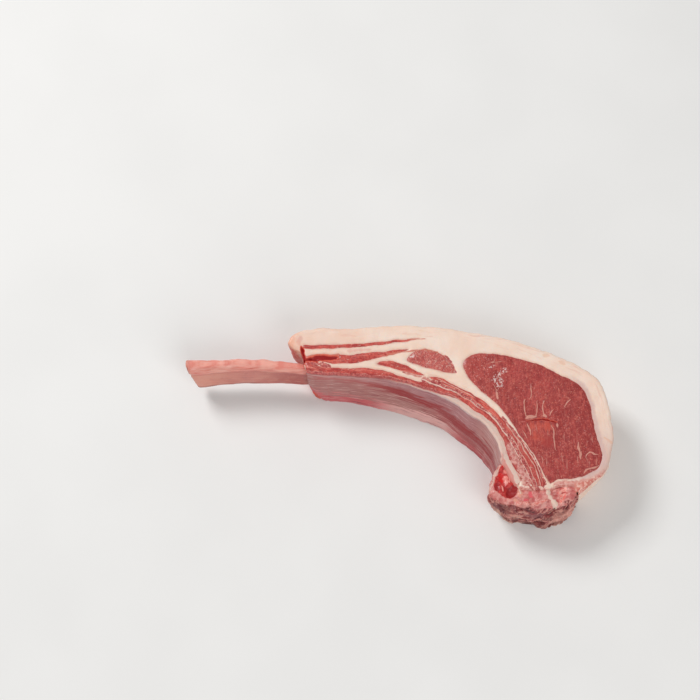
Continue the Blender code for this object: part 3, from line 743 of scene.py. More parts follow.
def slice_piece(name, material, low=None, high=None, source=None):
    """A closed piece: its share of the upper face, the same leaned on the underside, and walls.
    Low and high are functions of x where the piece doesn't run through the whole slice, and
    source is the slice that it has its outline from, if not its own."""
    source = source or name
    face, upper_relief, lower_relief = cut_face()
    sizes = bpy.context.scene.chop_sizes
    used, mine = np.unique(face.triangles[face.owner == SLICES.index(source)],
                           return_inverse=True)
    mine = mine.reshape(-1, 3)
    plan = face.plan[used]
    count = len(used)

    def leaned(level, wobble, side):
        """The plan at its place in the slanted slice, with wandering borders."""
        x, y = lean(*wobbled(plan, wobble / MM, side).T, level)
        return np.stack([x, y, level], 1)

    top_level = high(plan[:, 0]) if high else THICKNESS + upper_relief[used]
    foot_level = np.maximum(low(plan[:, 0]) if low else 0.0, -lower_relief[used])
    top = leaned(top_level, sizes.wobble, 0)
    foot = leaned(foot_level, sizes.foot_wobble, 1)
    away, place = face.outer if source == "fat_cap" else face.inner
    points = [top, foot]
    down = [np.zeros(count), THICKNESS - foot_level]
    share = [np.zeros(count), np.ones(count)]
    origin = [np.arange(count), np.arange(count)]
    faces = mine.tolist() + (mine[:, ::-1] + count).tolist()
    total = 2 * count
    for loop in border_loops(mine):
        exposed = face.on_rim[used[loop]]
        rows = WALL_ROWS if exposed.any() else HIDDEN_ROWS
        size = len(loop)
        outward = side_of(plan[loop], False)
        rings = [loop]
        for row in range(1, rows):
            t = row / rows
            ring = top[loop] * (1.0 - t) + foot[loop] * t
            down.append(THICKNESS - ring[:, 2])
            share.append(np.full(size, t))
            origin.append(loop)
            out = wall_relief(source, place[used[loop]], down[-1], share[-1])
            ring[:, :2] += outward * np.where(exposed, out, 0.0)[:, None]
            points.append(ring)
            rings.append(np.arange(total, total + size))
            total += size
        rings.append(loop + count)
        for upper, lower in zip(rings, rings[1:]):
            for i in range(size):
                j = (i + 1) % size
                faces.append((upper[j], upper[i], lower[i]))
                faces.append((upper[j], lower[i], lower[j]))
    origin = used[np.concatenate(origin)]
    down = np.concatenate(down)
    on_face = down < CUT_DEPTH
    edge = face.border[source] if source in face.border else face.edge
    values = {
        "edge": edge[origin], "skin": face.skin[origin], "along": place[origin],
        "across": away[origin], "down": down, "inner": face.inner[0][origin],
        "pale_line": np.where(on_face, face.line[origin], FAR),
        "dark_line": np.where(down < CLEFT_DEPTH, face.dark_line[origin], FAR),
        "plan_x": face.plan[origin][:, 0], "bone_away": face.bone_away[origin],
    }
    for key, area in face.area.items():
        values[key] = np.where(on_face, area[origin], FAR)
    if source == "inner_membrane":
        values["band"] = band_value(face.plan[origin][:, 0], np.concatenate(share))
    as_piece(name + "_cut", np.concatenate(points), faces, values, material, name)


def band_value(x, share):
    """0 at the top of the hollow side, 1, 2 and 3 at the lower edges of its bands, 4 below."""
    places, *edges = np.array(WALL_BANDS).T
    value = np.zeros(len(x))
    before = np.zeros(len(x))
    for edge in [*(np.interp(x, places, edge) for edge in edges), np.ones(len(x))]:
        value += np.clip((share - before) / (edge - before), 0.0, 1.0)
        before = edge
    return value


def remeshed(name, voxel, smooth):
    """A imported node's form as an even fine mesh, which can take fine relief."""
    bm = welded(name)
    mesh = bpy.data.meshes.new(name + "_form")
    bm.to_mesh(mesh)
    bm.free()
    obj = placed(name + "_form", mesh)
    remesh = obj.modifiers.new("remesh", "REMESH")
    remesh.mode = "VOXEL"
    remesh.voxel_size = voxel
    soften = obj.modifiers.new("soften", "SMOOTH")
    soften.factor = 0.5
    soften.iterations = smooth
    bpy.ops.object.modifier_apply(modifier="remesh")
    bpy.ops.object.modifier_apply(modifier="soften")
    mesh = obj.data
    mesh.update()
    points = np.array([v.co for v in mesh.vertices]) / MM
    normals = np.array([v.normal for v in mesh.vertices])
    faces = [tuple(p.vertices) for p in mesh.polygons]
    bpy.data.objects.remove(obj, do_unlink=True)
    return points, normals, faces


# ---------------------------------------------------------------- materials


class Finish:
    """A material being written, with the steps that every finish here takes; lengths in mm."""

    def __init__(self, name):
        self.material = bpy.data.materials.new(name)
        self.material.use_nodes = True
        self.tree = self.material.node_tree
        own = self.add("TexCoord", output="Object")
        self.place = self.add("VectorMath", {0: own, "Scale": 1.0 / MM}, operation="SCALE")

    def add(self, kind, inputs=None, output=0, **settings):
        """Adds one shader node with its settings, values and links, and gives back an output."""
        node = self.tree.nodes.new("ShaderNode" + kind)
        for key, value in settings.items():
            setattr(node, key, value)
        for key, value in (inputs or {}).items():
            if isinstance(value, bpy.types.NodeSocket):
                self.tree.links.new(value, node.inputs[key])
            else:
                node.inputs[key].default_value = linear(value) if isinstance(value, str) else value
        return node.outputs[output]

    def each(self, kind, keys, *rows):
        """One node of a kind for each row of its inputs, which go by the keys."""
        return [self.add(kind, dict(zip(keys, row))) for row in rows]

    def total(self, *terms):
        """The sum of numbers, of values, and of pairs of a value and its factor."""
        result = sum(term for term in terms if isinstance(term, float))
        for term in terms:
            if not isinstance(term, float):
                value, factor = term if isinstance(term, tuple) else (term, 1.0)
                result = self.add("Math", {0: value, 1: factor, 2: result},
                                  operation="MULTIPLY_ADD")
        return result

    def share(self, *masks):
        """The product of numbers, of values, and of values that fade in: such a one comes with
        the level where it gives 0 and the level where it gives 1."""
        product = None
        for mask in masks:
            if isinstance(mask, tuple):
                value, none, full = mask
                mask = self.add("MapRange", {"Value": value, "From Min": none, "From Max": full},
                                interpolation_type="SMOOTHSTEP")
            product = mask if product is None else self.add(
                "Math", {0: product, 1: mask}, operation="MULTIPLY")
        return product

    def layers(self, colour, *rows):
        """A colour with tones laid over it in turn, each by the product of its masks."""
        for tone, *masks in rows:
            colour = self.add("Mix", {0: self.share(*masks), 6: colour, 7: tone}, 2,
                              data_type="RGBA")
        return colour

    def strand(self, along, across, width):
        """Coordinates in which a pattern is drawn out along the first one."""
        return self.add("CombineXYZ", {"X": self.share(along, width), "Y": across})

    def end(self, colour, roughness, height, depth, coat, coat_roughness, soft=0.12,
            soft_reach=(1.0, 0.35, 0.25)):
        """Joins it all to the shader: a relief as deep as depth, a wet coat, and light that
        goes in a little way."""
        shader = self.tree.nodes["Principled BSDF"]
        relief = self.add("Bump", {"Height": height, "Distance": depth * MM, "Strength": 1.0})
        for key, value in (("Base Color", colour), ("Roughness", roughness), ("Normal", relief)):
            self.tree.links.new(value, shader.inputs[key])
        for key, value in (("IOR", MEAT_IOR), ("Coat Weight", coat),
                           ("Coat Roughness", coat_roughness), ("Subsurface Weight", soft),
                           ("Subsurface Radius", soft_reach), ("Subsurface Scale", MM)):
            shader.inputs[key].default_value = value
        return self.material


def cut_muscle(name, light, middle, dark, fleck, fibres, flecks, fleck_size, sheath_width):
    """Raw muscle cut across: wet, grained and mottled in reds, with orange-pink dots, pale broken
    flecks and seams, streaks along its fibres, and a thin pale sheath where it meets the fat.
    Fibres is their turn, or None where they follow the hollow side. Flecks is the level of the
    noise above which it is pale, lower for more of them."""
    f = Finish(name)
    along, across, edge, smooth, bright, pale_line, dark_line, cream, bony, glint, salmon = (
        f.add("Attribute", output="Fac", attribute_name=key) for key in
        "along across edge smooth bright pale_line dark_line cream bony glint salmon".split())
    x, y = (f.add("SeparateXYZ", {0: f.place}, axis) for axis in "XY")
    if fibres is None:
        drawn, wide = (f.strand(along, across, width) for width in (0.22, 0.4))
    else:
        turned = f.add("Mapping", {"Vector": f.place, "Rotation": (0.0, 0.0, fibres)})
        drawn, wide = (f.add("Mapping", {"Vector": turned, "Scale": (1.0, width, 1.0)})
                       for width in (0.2, 0.7))
    long = f.add("Mapping", {"Vector": drawn, "Scale": (1.0, 0.45, 1.0)})
    broad, patch, mottle, fibre, grit, fine, hairs, spots = f.each(
        "TexNoise", NOISE,
        (f.place, 1.0 / 9.0, 2.0, 0.5, 0.0), (f.place, 1.0 / 2.6, 4.0, 0.62, 0.3),
        (f.place, 1.0 / 1.15, 4.0, 0.68, 0.4), (drawn, 1.0 / 0.85, 3.0, 0.6, 0.35),
        (f.place, 1.0 / 0.75, 3.0, 0.6, 0.0), (f.place, 1.0 / 0.3, 2.0, 0.5, 0.0),
        (long, 1.0 / 0.8, 3.0, 0.65, 0.2), (wide, 1.0 / fleck_size, 3.0, 0.65, 0.4))
    low = f.share((y, 4.0, -12.0))
    plain = f.share((smooth, 0.8, -1.2))
    calm = f.total(1.0, (plain, -0.8))
    near = f.share((x, 50.0, 34.0), 0.1 if fibres is None else 0.3)
    colour = f.layers(
        dark, (middle, (broad, 0.36, 0.64)), (middle, 0.45), (dark, 0.55, (x, 62.0, 86.0)),
        (light, near),
        (light, calm, 0.55, (patch, 0.52, 0.68)), (dark, calm, 0.50, (patch, 0.47, 0.33)),
        (light, calm, 0.85, (mottle, 0.53, 0.65)), (dark, calm, 0.75, (mottle, 0.47, 0.35)),
        (light, calm, 0.65, (fibre, 0.54, 0.66)), (dark, calm, 0.70, (fibre, 0.46, 0.35)),
        (light, calm, 0.50, (fine, 0.54, 0.68)), (dark, calm, 0.45, (fine, 0.46, 0.34)))
    if fibres is None:
        streak = f.add("TexNoise", dict(zip(
            NOISE, (f.strand(along, across, 0.13), 1.0 / 1.3, 3.0, 0.6, 0.3))))
        own = (("EA8878", 0.55, (streak, 0.54, 0.66)), ("A2262A", 0.75, (streak, 0.47, 0.35)),
               ("A83634", 0.4, low))
    else:
        # Painted glints: rare pale pink specks, denser towards low x, stand in for tiny highlights
        # on the wet cut
        painted_glint_specks = f.add("TexNoise", {"Vector": f.place, "Scale": 1.0 / 0.55, "Detail": 1.0})
        own = (("E6B4AC", (painted_glint_specks, 0.65, 0.71), f.total((near, 1.4), 0.25)),)
    ragged = f.total((grit, 1.5), (patch, 1.2), -1.35)
    marbling = f.share((spots, flecks, flecks + 0.07), (patch, 0.38, 0.60))
    seam = f.share((f.total(pale_line, (ragged, 0.5)), 0.16, -0.20))
    sheath = f.share((f.total(edge, (patch, 1.6), -0.8), sheath_width, -0.1), 0.6)
    pale = f.add("Math", {0: marbling, 1: seam}, operation="MAXIMUM")
    pale = f.add("Math", {0: pale, 1: sheath}, operation="MAXIMUM")
    cleft = f.total(dark_line, (ragged, 0.4))
    bone = f.layers("CF7F78", ("E9B4A8", (mottle, 0.38, 0.60)),
                    ("8E3A3A", 0.6, (grit, 0.39, 0.31)))
    colour = f.layers(
        colour, *own, ("AE3E38", 0.7, plain),
        ("DC8470", calm, 0.5, (grit, 0.56, 0.66), (patch, 0.40, 0.56)),
        ("D65A46", 0.55, (f.total(bright, (hairs, 6.0)), 3.4, 1.2), (y, -0.8, -1.8)),
        (fleck, 0.55, low, calm, (hairs, 0.60, 0.70)),
        (fleck, 0.74, pale),
        ("EBCDBB", (f.total(cream, patch), 0.75, 0.25)),
        (bone, 0.85, (f.total(bony, (patch, 3.0)), 2.2, 0.8)),
        ("E8CCC6", 0.85, (grit, 0.49, 0.57), (glint, 0.7, -0.7)),
        ("DA7E68", 0.7, (salmon, 0.6, 0.0)),
        # Clefts: an orange-red lip, then a deep red core that is partly blood and partly painted
        # shade
        ("DC5C44", 0.8, (cleft, 1.3, 0.5)), ("98000A", 0.95, (cleft, 0.5, -0.2)))
    height = f.total((fibre, 0.5), (mottle, 0.6), (pale, 0.25), (fine, 0.2))
    rough = f.total((patch, 0.30), (f.share((cleft, 1.3, 0.3)), 0.35), 0.28)
    return f.end(colour, rough, height, 0.32, coat=0.28, coat_roughness=0.14)


def fresh_fat(name, cream, white, blush, vein):
    """Fresh lamb fat: waxy cream, softly lobed, with thin pink layers that follow its outer
    edge, a blush beside the muscles and a thin dry skin outside."""
    f = Finish(name)
    along, across, skin, edge, down, x, inner, bone_away = (
        f.add("Attribute", output="Fac", attribute_name=key) for key in
        "along across skin edge down plan_x inner bone_away".split())
    salmon, blushing, fleshy, bony, ochre, pale, glint, pale_line, dark_line = (
        f.add("Attribute", output="Fac", attribute_name=key) for key in
        "salmon blush fleshy bony ochre cream glint pale_line dark_line".split())
    y = f.add("SeparateXYZ", {0: f.place}, "Y")
    broad, lobes, fine, layers, mottle, grit, film = f.each(
        "TexNoise", NOISE,
        (f.place, 1.0 / 11.0, 3.0, 0.5, 0.0), (f.place, 1.0 / 2.6, 4.0, 0.6, 0.3),
        (f.place, 1.0 / 0.6, 3.0, 0.5, 0.0),
        (f.strand(along, across, 0.10), 1.0 / 1.1, 3.0, 0.6, 0.6),
        (f.place, 1.0 / 1.15, 4.0, 0.68, 0.4), (f.place, 1.0 / 0.75, 3.0, 0.5, 0.0),
        (f.strand(along, down, 0.4), 1.0 / 3.2, 4.0, 0.6, 0.8))
    layers = f.total(f.share(f.total(layers, -0.5), (across, 8.0, 4.0)), 0.5)
    near = f.total(edge, (lobes, 1.6), -0.8)
    ragged = f.total((mottle, 1.6), (grit, 0.8), -1.2)
    cleft = f.total(dark_line, (ragged, 0.5))

    # Torn meat, cut bone, rosy shreds at the low right corner, and the outer side
    flesh = f.layers("A23E3E", ("D0726A", (mottle, 0.40, 0.60)), ("E8AFA0", (grit, 0.58, 0.66)))
    fleshy = f.share((f.total(fleshy, ragged), 0.35, -0.35))
    under = f.share((inner, 0.75, 0.45), (x, 30.0, 22.0))
    torn = f.add("Math", {0: fleshy, 1: under}, operation="MAXIMUM")
    bone = f.layers("CC7068", ("E6ACA0", (mottle, 0.38, 0.60)))
    at_bone = f.share((f.total(bone_away, (mottle, 3.0)), 3.2, 2.0), (x, 48.0, 51.0))
    bony = f.share((f.total(bony, (lobes, 2.4)), 1.9, 0.7))
    bony = f.add("Math", {0: bony, 1: at_bone}, operation="MAXIMUM")
    rosy = f.layers("F0C0B0", ("D06A5C", (mottle, 0.38, 0.56)))
    end_wall = f.layers("EFA98C", ("DA5A4A", (f.total(down, (lobes, 9.0)), 5.0, 8.5)),
                        ("9E2A26", 0.45, (mottle, 0.46, 0.34)))
    at_end = f.share((x, -32.0, -35.0), (inner, 9.0, 7.0))
    around = f.share((f.total(x, (lobes, 7.0), (film, 5.0)), -35.0, -39.5))
    at_end = f.add("Math", {0: at_end, 1: around}, operation="MAXIMUM")
    wash = f.layers(cream, (blush, 0.45, (film, 0.42, 0.70)), (vein, 0.25, (film, 0.62, 0.76)),
                    (white, 0.4, (lobes, 0.52, 0.66)), (end_wall, at_end))

    colour = f.layers(
        cream, (white, (broad, 0.25, 0.75)), ("EFC8B4", 0.5, (x, 0.0, -26.0)),
        (blush, 0.55, (layers, 0.56, 0.72)), (white, 0.5, (layers, 0.44, 0.30)),
        (blush, 0.55, (near, 0.9, 0.0)),
        (vein, 0.5, (f.total(skin, (lobes, 0.9), -0.45), 0.55, 0.1)),
        ("D2ADA6", 0.75, (near, 2.4, 0.8), (x, 70.0, 80.0)),
        (flesh, torn),
        ("E0A598", 0.6, (f.total(blushing, ragged), 0.5, -0.8)),
        ("CE7060", 0.85, (f.total(salmon, (lobes, 1.2)), 0.8, 0.2)),
        (bone, bony, f.total((fleshy, -0.8), 0.9)),
        ("EEAA8E", 0.8, (f.total(x, (lobes, 8.0)), -36.0, -43.0)),
        ("D6B4AC", 0.6, (x, 74.0, 84.0), (y, 4.0, -20.0)),
        ("E6AE88", 0.4, (f.total(ochre, (lobes, 2.0)), 1.4, 0.4)),
        ("EBCDBB", (f.total(pale, lobes), 0.75, 0.25)),
        (rosy, 0.9, (x, 70.0, 76.0), (edge, 0.8, 3.2), (y, -20.0, -27.0)),
        (wash, (down, 0.5, 2.0)),
        ("EFD0C0", 0.8, (f.total(pale_line, (ragged, 0.35)), 0.12, -0.14)),
        ("F4DED6", 0.8, (grit, 0.49, 0.57), (glint, 0.7, -0.7)),
        # Clefts: an orange-red lip, then a deep red core that is partly blood and partly painted
        # shade
        ("D84E38", (cleft, 1.3, 0.3)), ("A00608", (cleft, 0.5, -0.3)))
    height = f.total((layers, 0.5), (lobes, 0.6), (fine, 0.18))
    rough = f.total((lobes, 0.25), (f.share((cleft, 1.3, 0.3)), 0.35), 0.34)
    return f.end(colour, rough, height, 0.30, coat=0.18, coat_roughness=0.25, soft=0.2,
                 soft_reach=(1.4, 0.9, 0.6))


def wet_membrane(name, cream):
    """The thin clear membrane over the hollow side: glossy, drawn out in fine lines along the
    rib, grey over muscle, red in a streak, beige over the bone and pink along its foot."""
    f = Finish(name)
    along, down, band, x, skin, pale = (
        f.add("Attribute", output="Fac", attribute_name=key) for key in
        "along down band plan_x skin cream".split())
    drawn = f.strand(along, down, 0.06)
    lines, hairs, patch, mottle = f.each(
        "TexNoise", NOISE,
        (drawn, 1.0 / 0.9, 4.0, 0.62, 0.3), (drawn, 1.0 / 0.45, 3.0, 0.6, 0.2),
        (f.strand(along, down, 0.35), 1.0 / 3.0, 3.0, 0.5, 0.0),
        (f.place, 1.0 / 1.15, 4.0, 0.68, 0.4))
    band = f.total(band, (lines, 2.0), (patch, 0.8), -1.4)
    grey = f.layers("C4827E", ("B27476", (x, -24.0, 6.0)), ("B87C76", (x, 28.0, 40.0)))
    red = f.layers("B45854", ("9A000A", (x, -22.0, 4.0)))
    beige = f.layers("AE6C66", ("B04644", (x, 8.0, 28.0)))
    foot = f.layers("CC585C", ("E6ACA6", (x, -12.0, 6.0)), ("C2484C", (x, 22.0, 32.0)))
    calm = f.total((f.share((band, 0.80, 1.15), (band, 2.25, 1.70)), -0.8), 1.0)

    # Its upper rim, cut with the face: pale, and wider towards the backbone, then meat
    white_width = f.share((x, 14.0, 38.0), 3.6)
    flesh = f.share((f.total(skin, (mottle, 0.8), (white_width, -1.0), -0.5), -0.15, 0.35))
    meat = f.layers("A23E3E", ("CC6E66", (mottle, 0.40, 0.60)))
    rim = f.layers("A65A56", (cream, (x, -10.0, 8.0)), ("E0A597", 0.4, (mottle, 0.56, 0.66)),
                   (meat, flesh, (x, 40.0, 36.0)),
                   ("DD9388", (f.total(pale, patch), 0.5, 1.0), (x, 42.0, 45.0)))
    # Painted highlight: a thin pale line just under the upper rim, between x 8 and 38 mm, stands
    # in for light glancing off the wet membrane
    painted_rim_highlight = f.total(down, (patch, 1.2))
    colour = f.layers(
        grey, (red, (band, 0.80, 1.15)), (beige, (band, 1.70, 2.25)), (foot, (band, 2.80, 3.20)),
        ("D8A8A2", calm, 0.45, (lines, 0.55, 0.68)), ("8C2E36", calm, 0.60, (lines, 0.45, 0.32)),
        ("EAC4BC", calm, 0.45, (hairs, 0.56, 0.68)), ("8A2A32", calm, 0.45, (hairs, 0.44, 0.31)),
        (rim, (f.total(down, (patch, 0.9)), 1.25, 0.45)),
        ("ECDAD8", 0.85, (painted_rim_highlight, 1.2, 1.6), (painted_rim_highlight, 2.4, 1.9), (x, 8.0, 16.0), (x, 38.0, 30.0)))
    height = f.total((lines, 0.8), (patch, 0.4), (hairs, 0.3))
    return f.end(colour, f.total((patch, 0.25), 0.20), height, 0.24, coat=0.5,
                 coat_roughness=0.12)


def bare_rib(name):
    """Scraped rib bone under a rest of membrane: smooth and glossy, beige-pink with blood
    showing through, and a redder ragged upper edge."""
    f = Finish(name)
    along, rise = (f.add("Attribute", output="Fac", attribute_name=key)
                   for key in ("along", "rise"))
    lines, patch, fine, waves, folds = f.each(
        "TexNoise", NOISE,
        (f.strand(along, rise, 0.08), 1.0 / 1.0, 4.0, 0.6, 0.4),
        (f.place, 1.0 / 5.0, 3.0, 0.55, 0.0), (f.place, 1.0 / 0.9, 3.0, 0.5, 0.0),
        (f.strand(along, 0.0, 0.26), 1.0 / 3.0, 3.0, 0.5, 0.0),
        (f.strand(along, rise, 0.10), 1.0 / 0.9, 4.0, 0.6, 0.5))
    cloudy = f.total((lines, 0.5), (patch, 0.5))
    level = f.total(rise, (waves, 3.6), -1.8)
    edge = f.layers("E4887A", ("F2AC9C", (folds, 0.42, 0.60)),
                    ("B8403A", 0.8, (folds, 0.40, 0.32)))
    colour = f.layers(
        "DC907C", ("D08074", (along, -88.0, -64.0)), ("B0524A", (along, -62.0, -44.0)),
        # Lighter clouds and fine pale specks over the face: partly the bone's own mottling, partly
        # painted sheen on the glossy bone
        ("DE9C88", 0.5, (cloudy, 0.46, 0.64)), ("BA6864", 0.5, (cloudy, 0.48, 0.36)),
        ("E0B4A6", 0.2, (fine, 0.56, 0.72)),
        ("C05C50", 0.6, (level, 3.3, 4.0), (level, 4.8, 4.1)), (edge, (level, 3.6, 5.0)),
        ("8E4A42", 0.7, (level, -4.6, -6.0)))
    height = f.total((lines, 0.4), (fine, 0.3), (f.share(folds, (level, 3.6, 5.0)), 1.2))
    return f.end(colour, f.total((patch, 0.25), 0.25), height, 0.3, coat=0.4,
                 coat_roughness=0.16)


def sawn_bone(name):
    """Sawn backbone: spongy bone in pinks, a blood-red marrow hollow with a pale rim, white
    cartilage, and a rough purple-brown rind of meat shreds with peach knobs on its outer side."""
    f = Finish(name)
    crag, fold, rind, above = (f.add("Attribute", output="Fac", attribute_name=key)
                               for key in ("crag", "fold", "rind", "height"))
    broad, patch, fine = f.each(
        "TexNoise", NOISE, (f.place, 1.0 / 6.0, 3.0, 0.6, 0.0),
        (f.place, 1.0 / 2.4, 4.0, 0.62, 0.3), (f.place, 1.0 / 1.0, 4.0, 0.7, 0.5))
    sponge = f.add("TexVoronoi", {"Vector": f.place, "Scale": 1.0 / 1.5, "Randomness": 1.0},
                   "Distance", feature="SMOOTH_F1")
    fold = f.total(fold, (fine, 0.9), -0.45)

    def zone(key, rag=1.6, soft=0.3):
        """An area on the sawn face, with a ragged edge."""
        away = f.add("Attribute", output="Fac", attribute_name=key)
        return f.total(away, (patch, rag), (fine, 1.4), -0.5 * rag - 0.7), soft, -soft

    def spot(key):
        """The spots of a kind on the front."""
        near = f.add("Attribute", output="Fac", attribute_name=key + "_front")
        return f.total(near, (patch, 1.4), -0.7), 0.25, 0.9

    bone = f.layers("D0807C", ("E8B2A8", (fine, 0.36, 0.60)))
    flesh = f.layers("A23E3E", ("CC6A62", (fine, 0.40, 0.60)))
    wet = f.layers("F07268", ("FFBCAE", (patch, 0.42, 0.58)))
    pores = f.layers("F4B0A2", (wet, (sponge, 0.18, 0.50)), ("B23A3A", 0.8, (fine, 0.46, 0.32)))
    marrow = f.layers("B4181C", ("D23C38", (patch, 0.40, 0.62)),
                      ("EE8A80", 0.6, (fine, 0.56, 0.68)))
    # The brow, the sawn edge where the top turns down, is bright pink-red with pale specks: partly
    # its own colour, partly a painted highlight.
    brow = f.layers("E27468", ("F8B8AC", (fine, 0.42, 0.58)))
    # Painted shade and light on the rind: the raised folds are lighter and the gaps between them
    # darkest red, and it is darker in the shade spots and in sunken crags. It also darkens towards
    # its foot.
    crust = f.layers(
        "62141A", ("A24644", (fold, -0.55, 0.15)), ("D89284", (fold, 0.1, 0.6)),
        ("E8A898", 0.6, spot("peach")), ("7E3440", 0.75, spot("mauve")),
        ("6A0E14", 0.6, spot("shade")),
        ("6E1016", 0.4, (f.total(crag, (patch, 0.8), -0.4), -0.5, -1.6)),
        ("64241E", 0.75, (above, 8.0, 1.0)), ("E8BAA8", 0.8, spot("knob")),
        ("5E0E12", 0.45, (fine, 0.43, 0.32)), ("F0BCAE", 0.55, (fine, 0.57, 0.66)))
    colour = f.layers(
        "CC6864", ("E8A096", (patch, 0.38, 0.62)), ("F6CCC0", 0.6, (fine, 0.58, 0.72)),
        ("B43E3C", 0.6, (fine, 0.42, 0.30)), (bone, 0.85, zone("bony")),
        (flesh, 0.8, zone("fleshy")), (pores, zone("sponge", 3.0)),
        ("C03834", 0.65, zone("curl")), ("F0606A", 0.85, zone("rose")),
        ("F0A690", 0.85, zone("peach")),
        (crust, (f.total(rind, (patch, 1.2), (broad, 2.4), -1.8), 0.30, 0.65)),
        (marrow, zone("cavity", 1.0)),
        ("E01E1C", 0.9, zone("blood")), ("A01216", 0.9, zone("clot")),
        ("F8988C", 0.9, zone("light")), ("EFC4B6", 0.9, zone("lip")),
        ("F0D2C0", 0.9, zone("cream")), (brow, 0.9, zone("brow")))
    height = f.total((fine, 0.8), (sponge, -0.4), (patch, 0.6))
    return f.end(colour, f.total((broad, 0.3), 0.25), height, 0.6, coat=0.3,
                 coat_roughness=0.14)


def pale_board(name):
    """Painted board under the chop: matt, almost white, with the faintest clouds."""
    f = Finish(name)
    clouds, wear, tooth = f.each(
        "TexNoise", ("Vector", "Scale"),
        (f.place, 1.0 / 60.0), (f.place, 1.0 / 30.0), (f.place, 1.0 / 1.0))
    colour = f.layers("ECEBE9", ("EFEEEC", (clouds, 0.3, 0.7)))
    return f.end(colour, f.total((wear, 0.1), 0.6), tooth, 0.02, coat=0.0, coat_roughness=0.2,
                 soft=0.0)


# ---------------------------------------------------------------- settings


class ChopSizes(bpy.types.PropertyGroup):
    step: FloatProperty(
        name="Mesh step", description="Spacing of the points on the cut faces",
        default=0.5 * MM, unit="LENGTH", subtype="DISTANCE")
    wobble: FloatProperty(
        name="Border wobble", description="How far the borders between pieces wander",
        default=0.45 * MM, unit="LENGTH", subtype="DISTANCE")
    foot_wobble: FloatProperty(
        name="Underside wobble", description="How far they wander on the underside",
        default=0.45 * MM, unit="LENGTH", subtype="DISTANCE")
    rim: FloatProperty(
        name="Rim radius", description="Rounding where a cut face meets the outside",
        default=0.7 * MM, unit="LENGTH", subtype="DISTANCE")
    bone_voxel: FloatProperty(
        name="Bone voxel", description="Fineness of the bone meshes",
        default=0.5 * MM, unit="LENGTH", subtype="DISTANCE")


class ChopColours(bpy.types.PropertyGroup):
    fat: FloatVectorProperty(
        name="Fat", description="Cream of the fresh fat", size=4, subtype="COLOR",
        default=linear("F3D3BF"), min=0.0, max=1.0)
    eye: FloatVectorProperty(
        name="Eye muscle", description="Middle red of the loin eye", size=4, subtype="COLOR",
        default=linear("B2423F"), min=0.0, max=1.0)
    strips: FloatVectorProperty(
        name="Flank muscles", description="Middle red of the small muscles", size=4,
        subtype="COLOR", default=linear("CA4840"), min=0.0, max=1.0)


# ---------------------------------------------------------------- operators


class CHOP_OT_eye(bpy.types.Operator):
    """Builds the large loin eye muscle"""

    bl_idname = "chop.eye"
    bl_label = "Eye muscle"

    def execute(self, context):
        material = cut_muscle("fresh_cut_loin", "C4584E", context.scene.chop_colours.eye,
                              "8E2A29", "E2A392", -0.05, 0.66, 0.7, 0.25)
        slice_piece("eye_muscle", material)
        return {"FINISHED"}


class CHOP_OT_small_muscles(bpy.types.Operator):
    """Builds the cap, leaf, streak, flap, side and rib muscles"""

    bl_idname = "chop.small_muscles"
    bl_label = "Small muscles"

    def execute(self, context):
        strip = cut_muscle("fresh_cut_flank", "DE685A", context.scene.chop_colours.strips,
                           "9A2E2E", "EDBBAB", None, 0.59, 0.6, 0.15)
        cap = cut_muscle("fresh_cut_cap", "DA7468", "C04F4A", "9C3838", "F0C6B8",
                         0.4, 0.54, 0.55, 0.3)
        side = cut_muscle("fresh_cut_side_strip", "EC7C6C", "D85648", "AC3834",
                          "EDBBAB", None, 0.59, 0.6, 0.15)
        for name, material in (("leaf_muscle", strip), ("streak_muscle", strip),
                               ("flap_muscle", strip), ("side_muscle", side),
                               ("cap_muscle", cap)):
            slice_piece(name, material)
        slice_piece("rib_muscle", strip, low=lambda x: rib_span(x)[1] + GAP)
        slice_piece("under_rib_muscle", strip,
                    high=lambda x: rib_span(x)[0] - GAP, source="rib_muscle")
        return {"FINISHED"}


class CHOP_OT_fat(bpy.types.Operator):
    """Builds the bed and cap of fat that hold the muscles"""

    bl_idname = "chop.fat"
    bl_label = "Fat"

    def execute(self, context):
        slice_piece("fat_cap", fresh_fat("fresh_lamb_fat", context.scene.chop_colours.fat,
                                                "F5DFD0", "E6B6A4", "CE9486"))
        return {"FINISHED"}


class CHOP_OT_membrane(bpy.types.Operator):
    """Builds the membrane that lines the hollow side"""

    bl_idname = "chop.membrane"
    bl_label = "Inner membrane"

    def execute(self, context):
        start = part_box("inner_membrane")[0].x / MM
        height, length = MEMBRANE_FOOT
        slice_piece("inner_membrane", wet_membrane("wet_rib_membrane", "E6C6B8"),
                    low=lambda x: height * ramp(start + length, start, x))
        return {"FINISHED"}


class CHOP_OT_rib(bpy.types.Operator):
    """Builds the rib bone, bare at one end"""

    bl_idname = "chop.rib"
    bl_label = "Rib bone"

    def execute(self, context):
        voxel = context.scene.chop_sizes.bone_voxel
        points, normals, faces = remeshed("rib_bone", voxel, 20)
        low, high = rib_span(points[:, 0])
        rise = points[:, 2] - (low + high) / 2.0
        bare = ramp(*RIB_BARE, points[:, 0])
        shreds = ramp(3.5, 6.0, rise) * bare * shape(points * SHRED_DRAWN, RIB_SHREDS)
        out = shape(points, RIB_LUMPS) + shape(points * STREAK_DRAWN, RIB_STREAKS) + shreds
        out = out * bare - RIB_THINNED * (1.0 - bare)
        as_piece("rib_bone_bare", points + normals * out[:, None], faces,
                 {"along": points[:, 0], "rise": rise},
                 bare_rib("scraped_rib_bone"), "rib_bone")
        return {"FINISHED"}


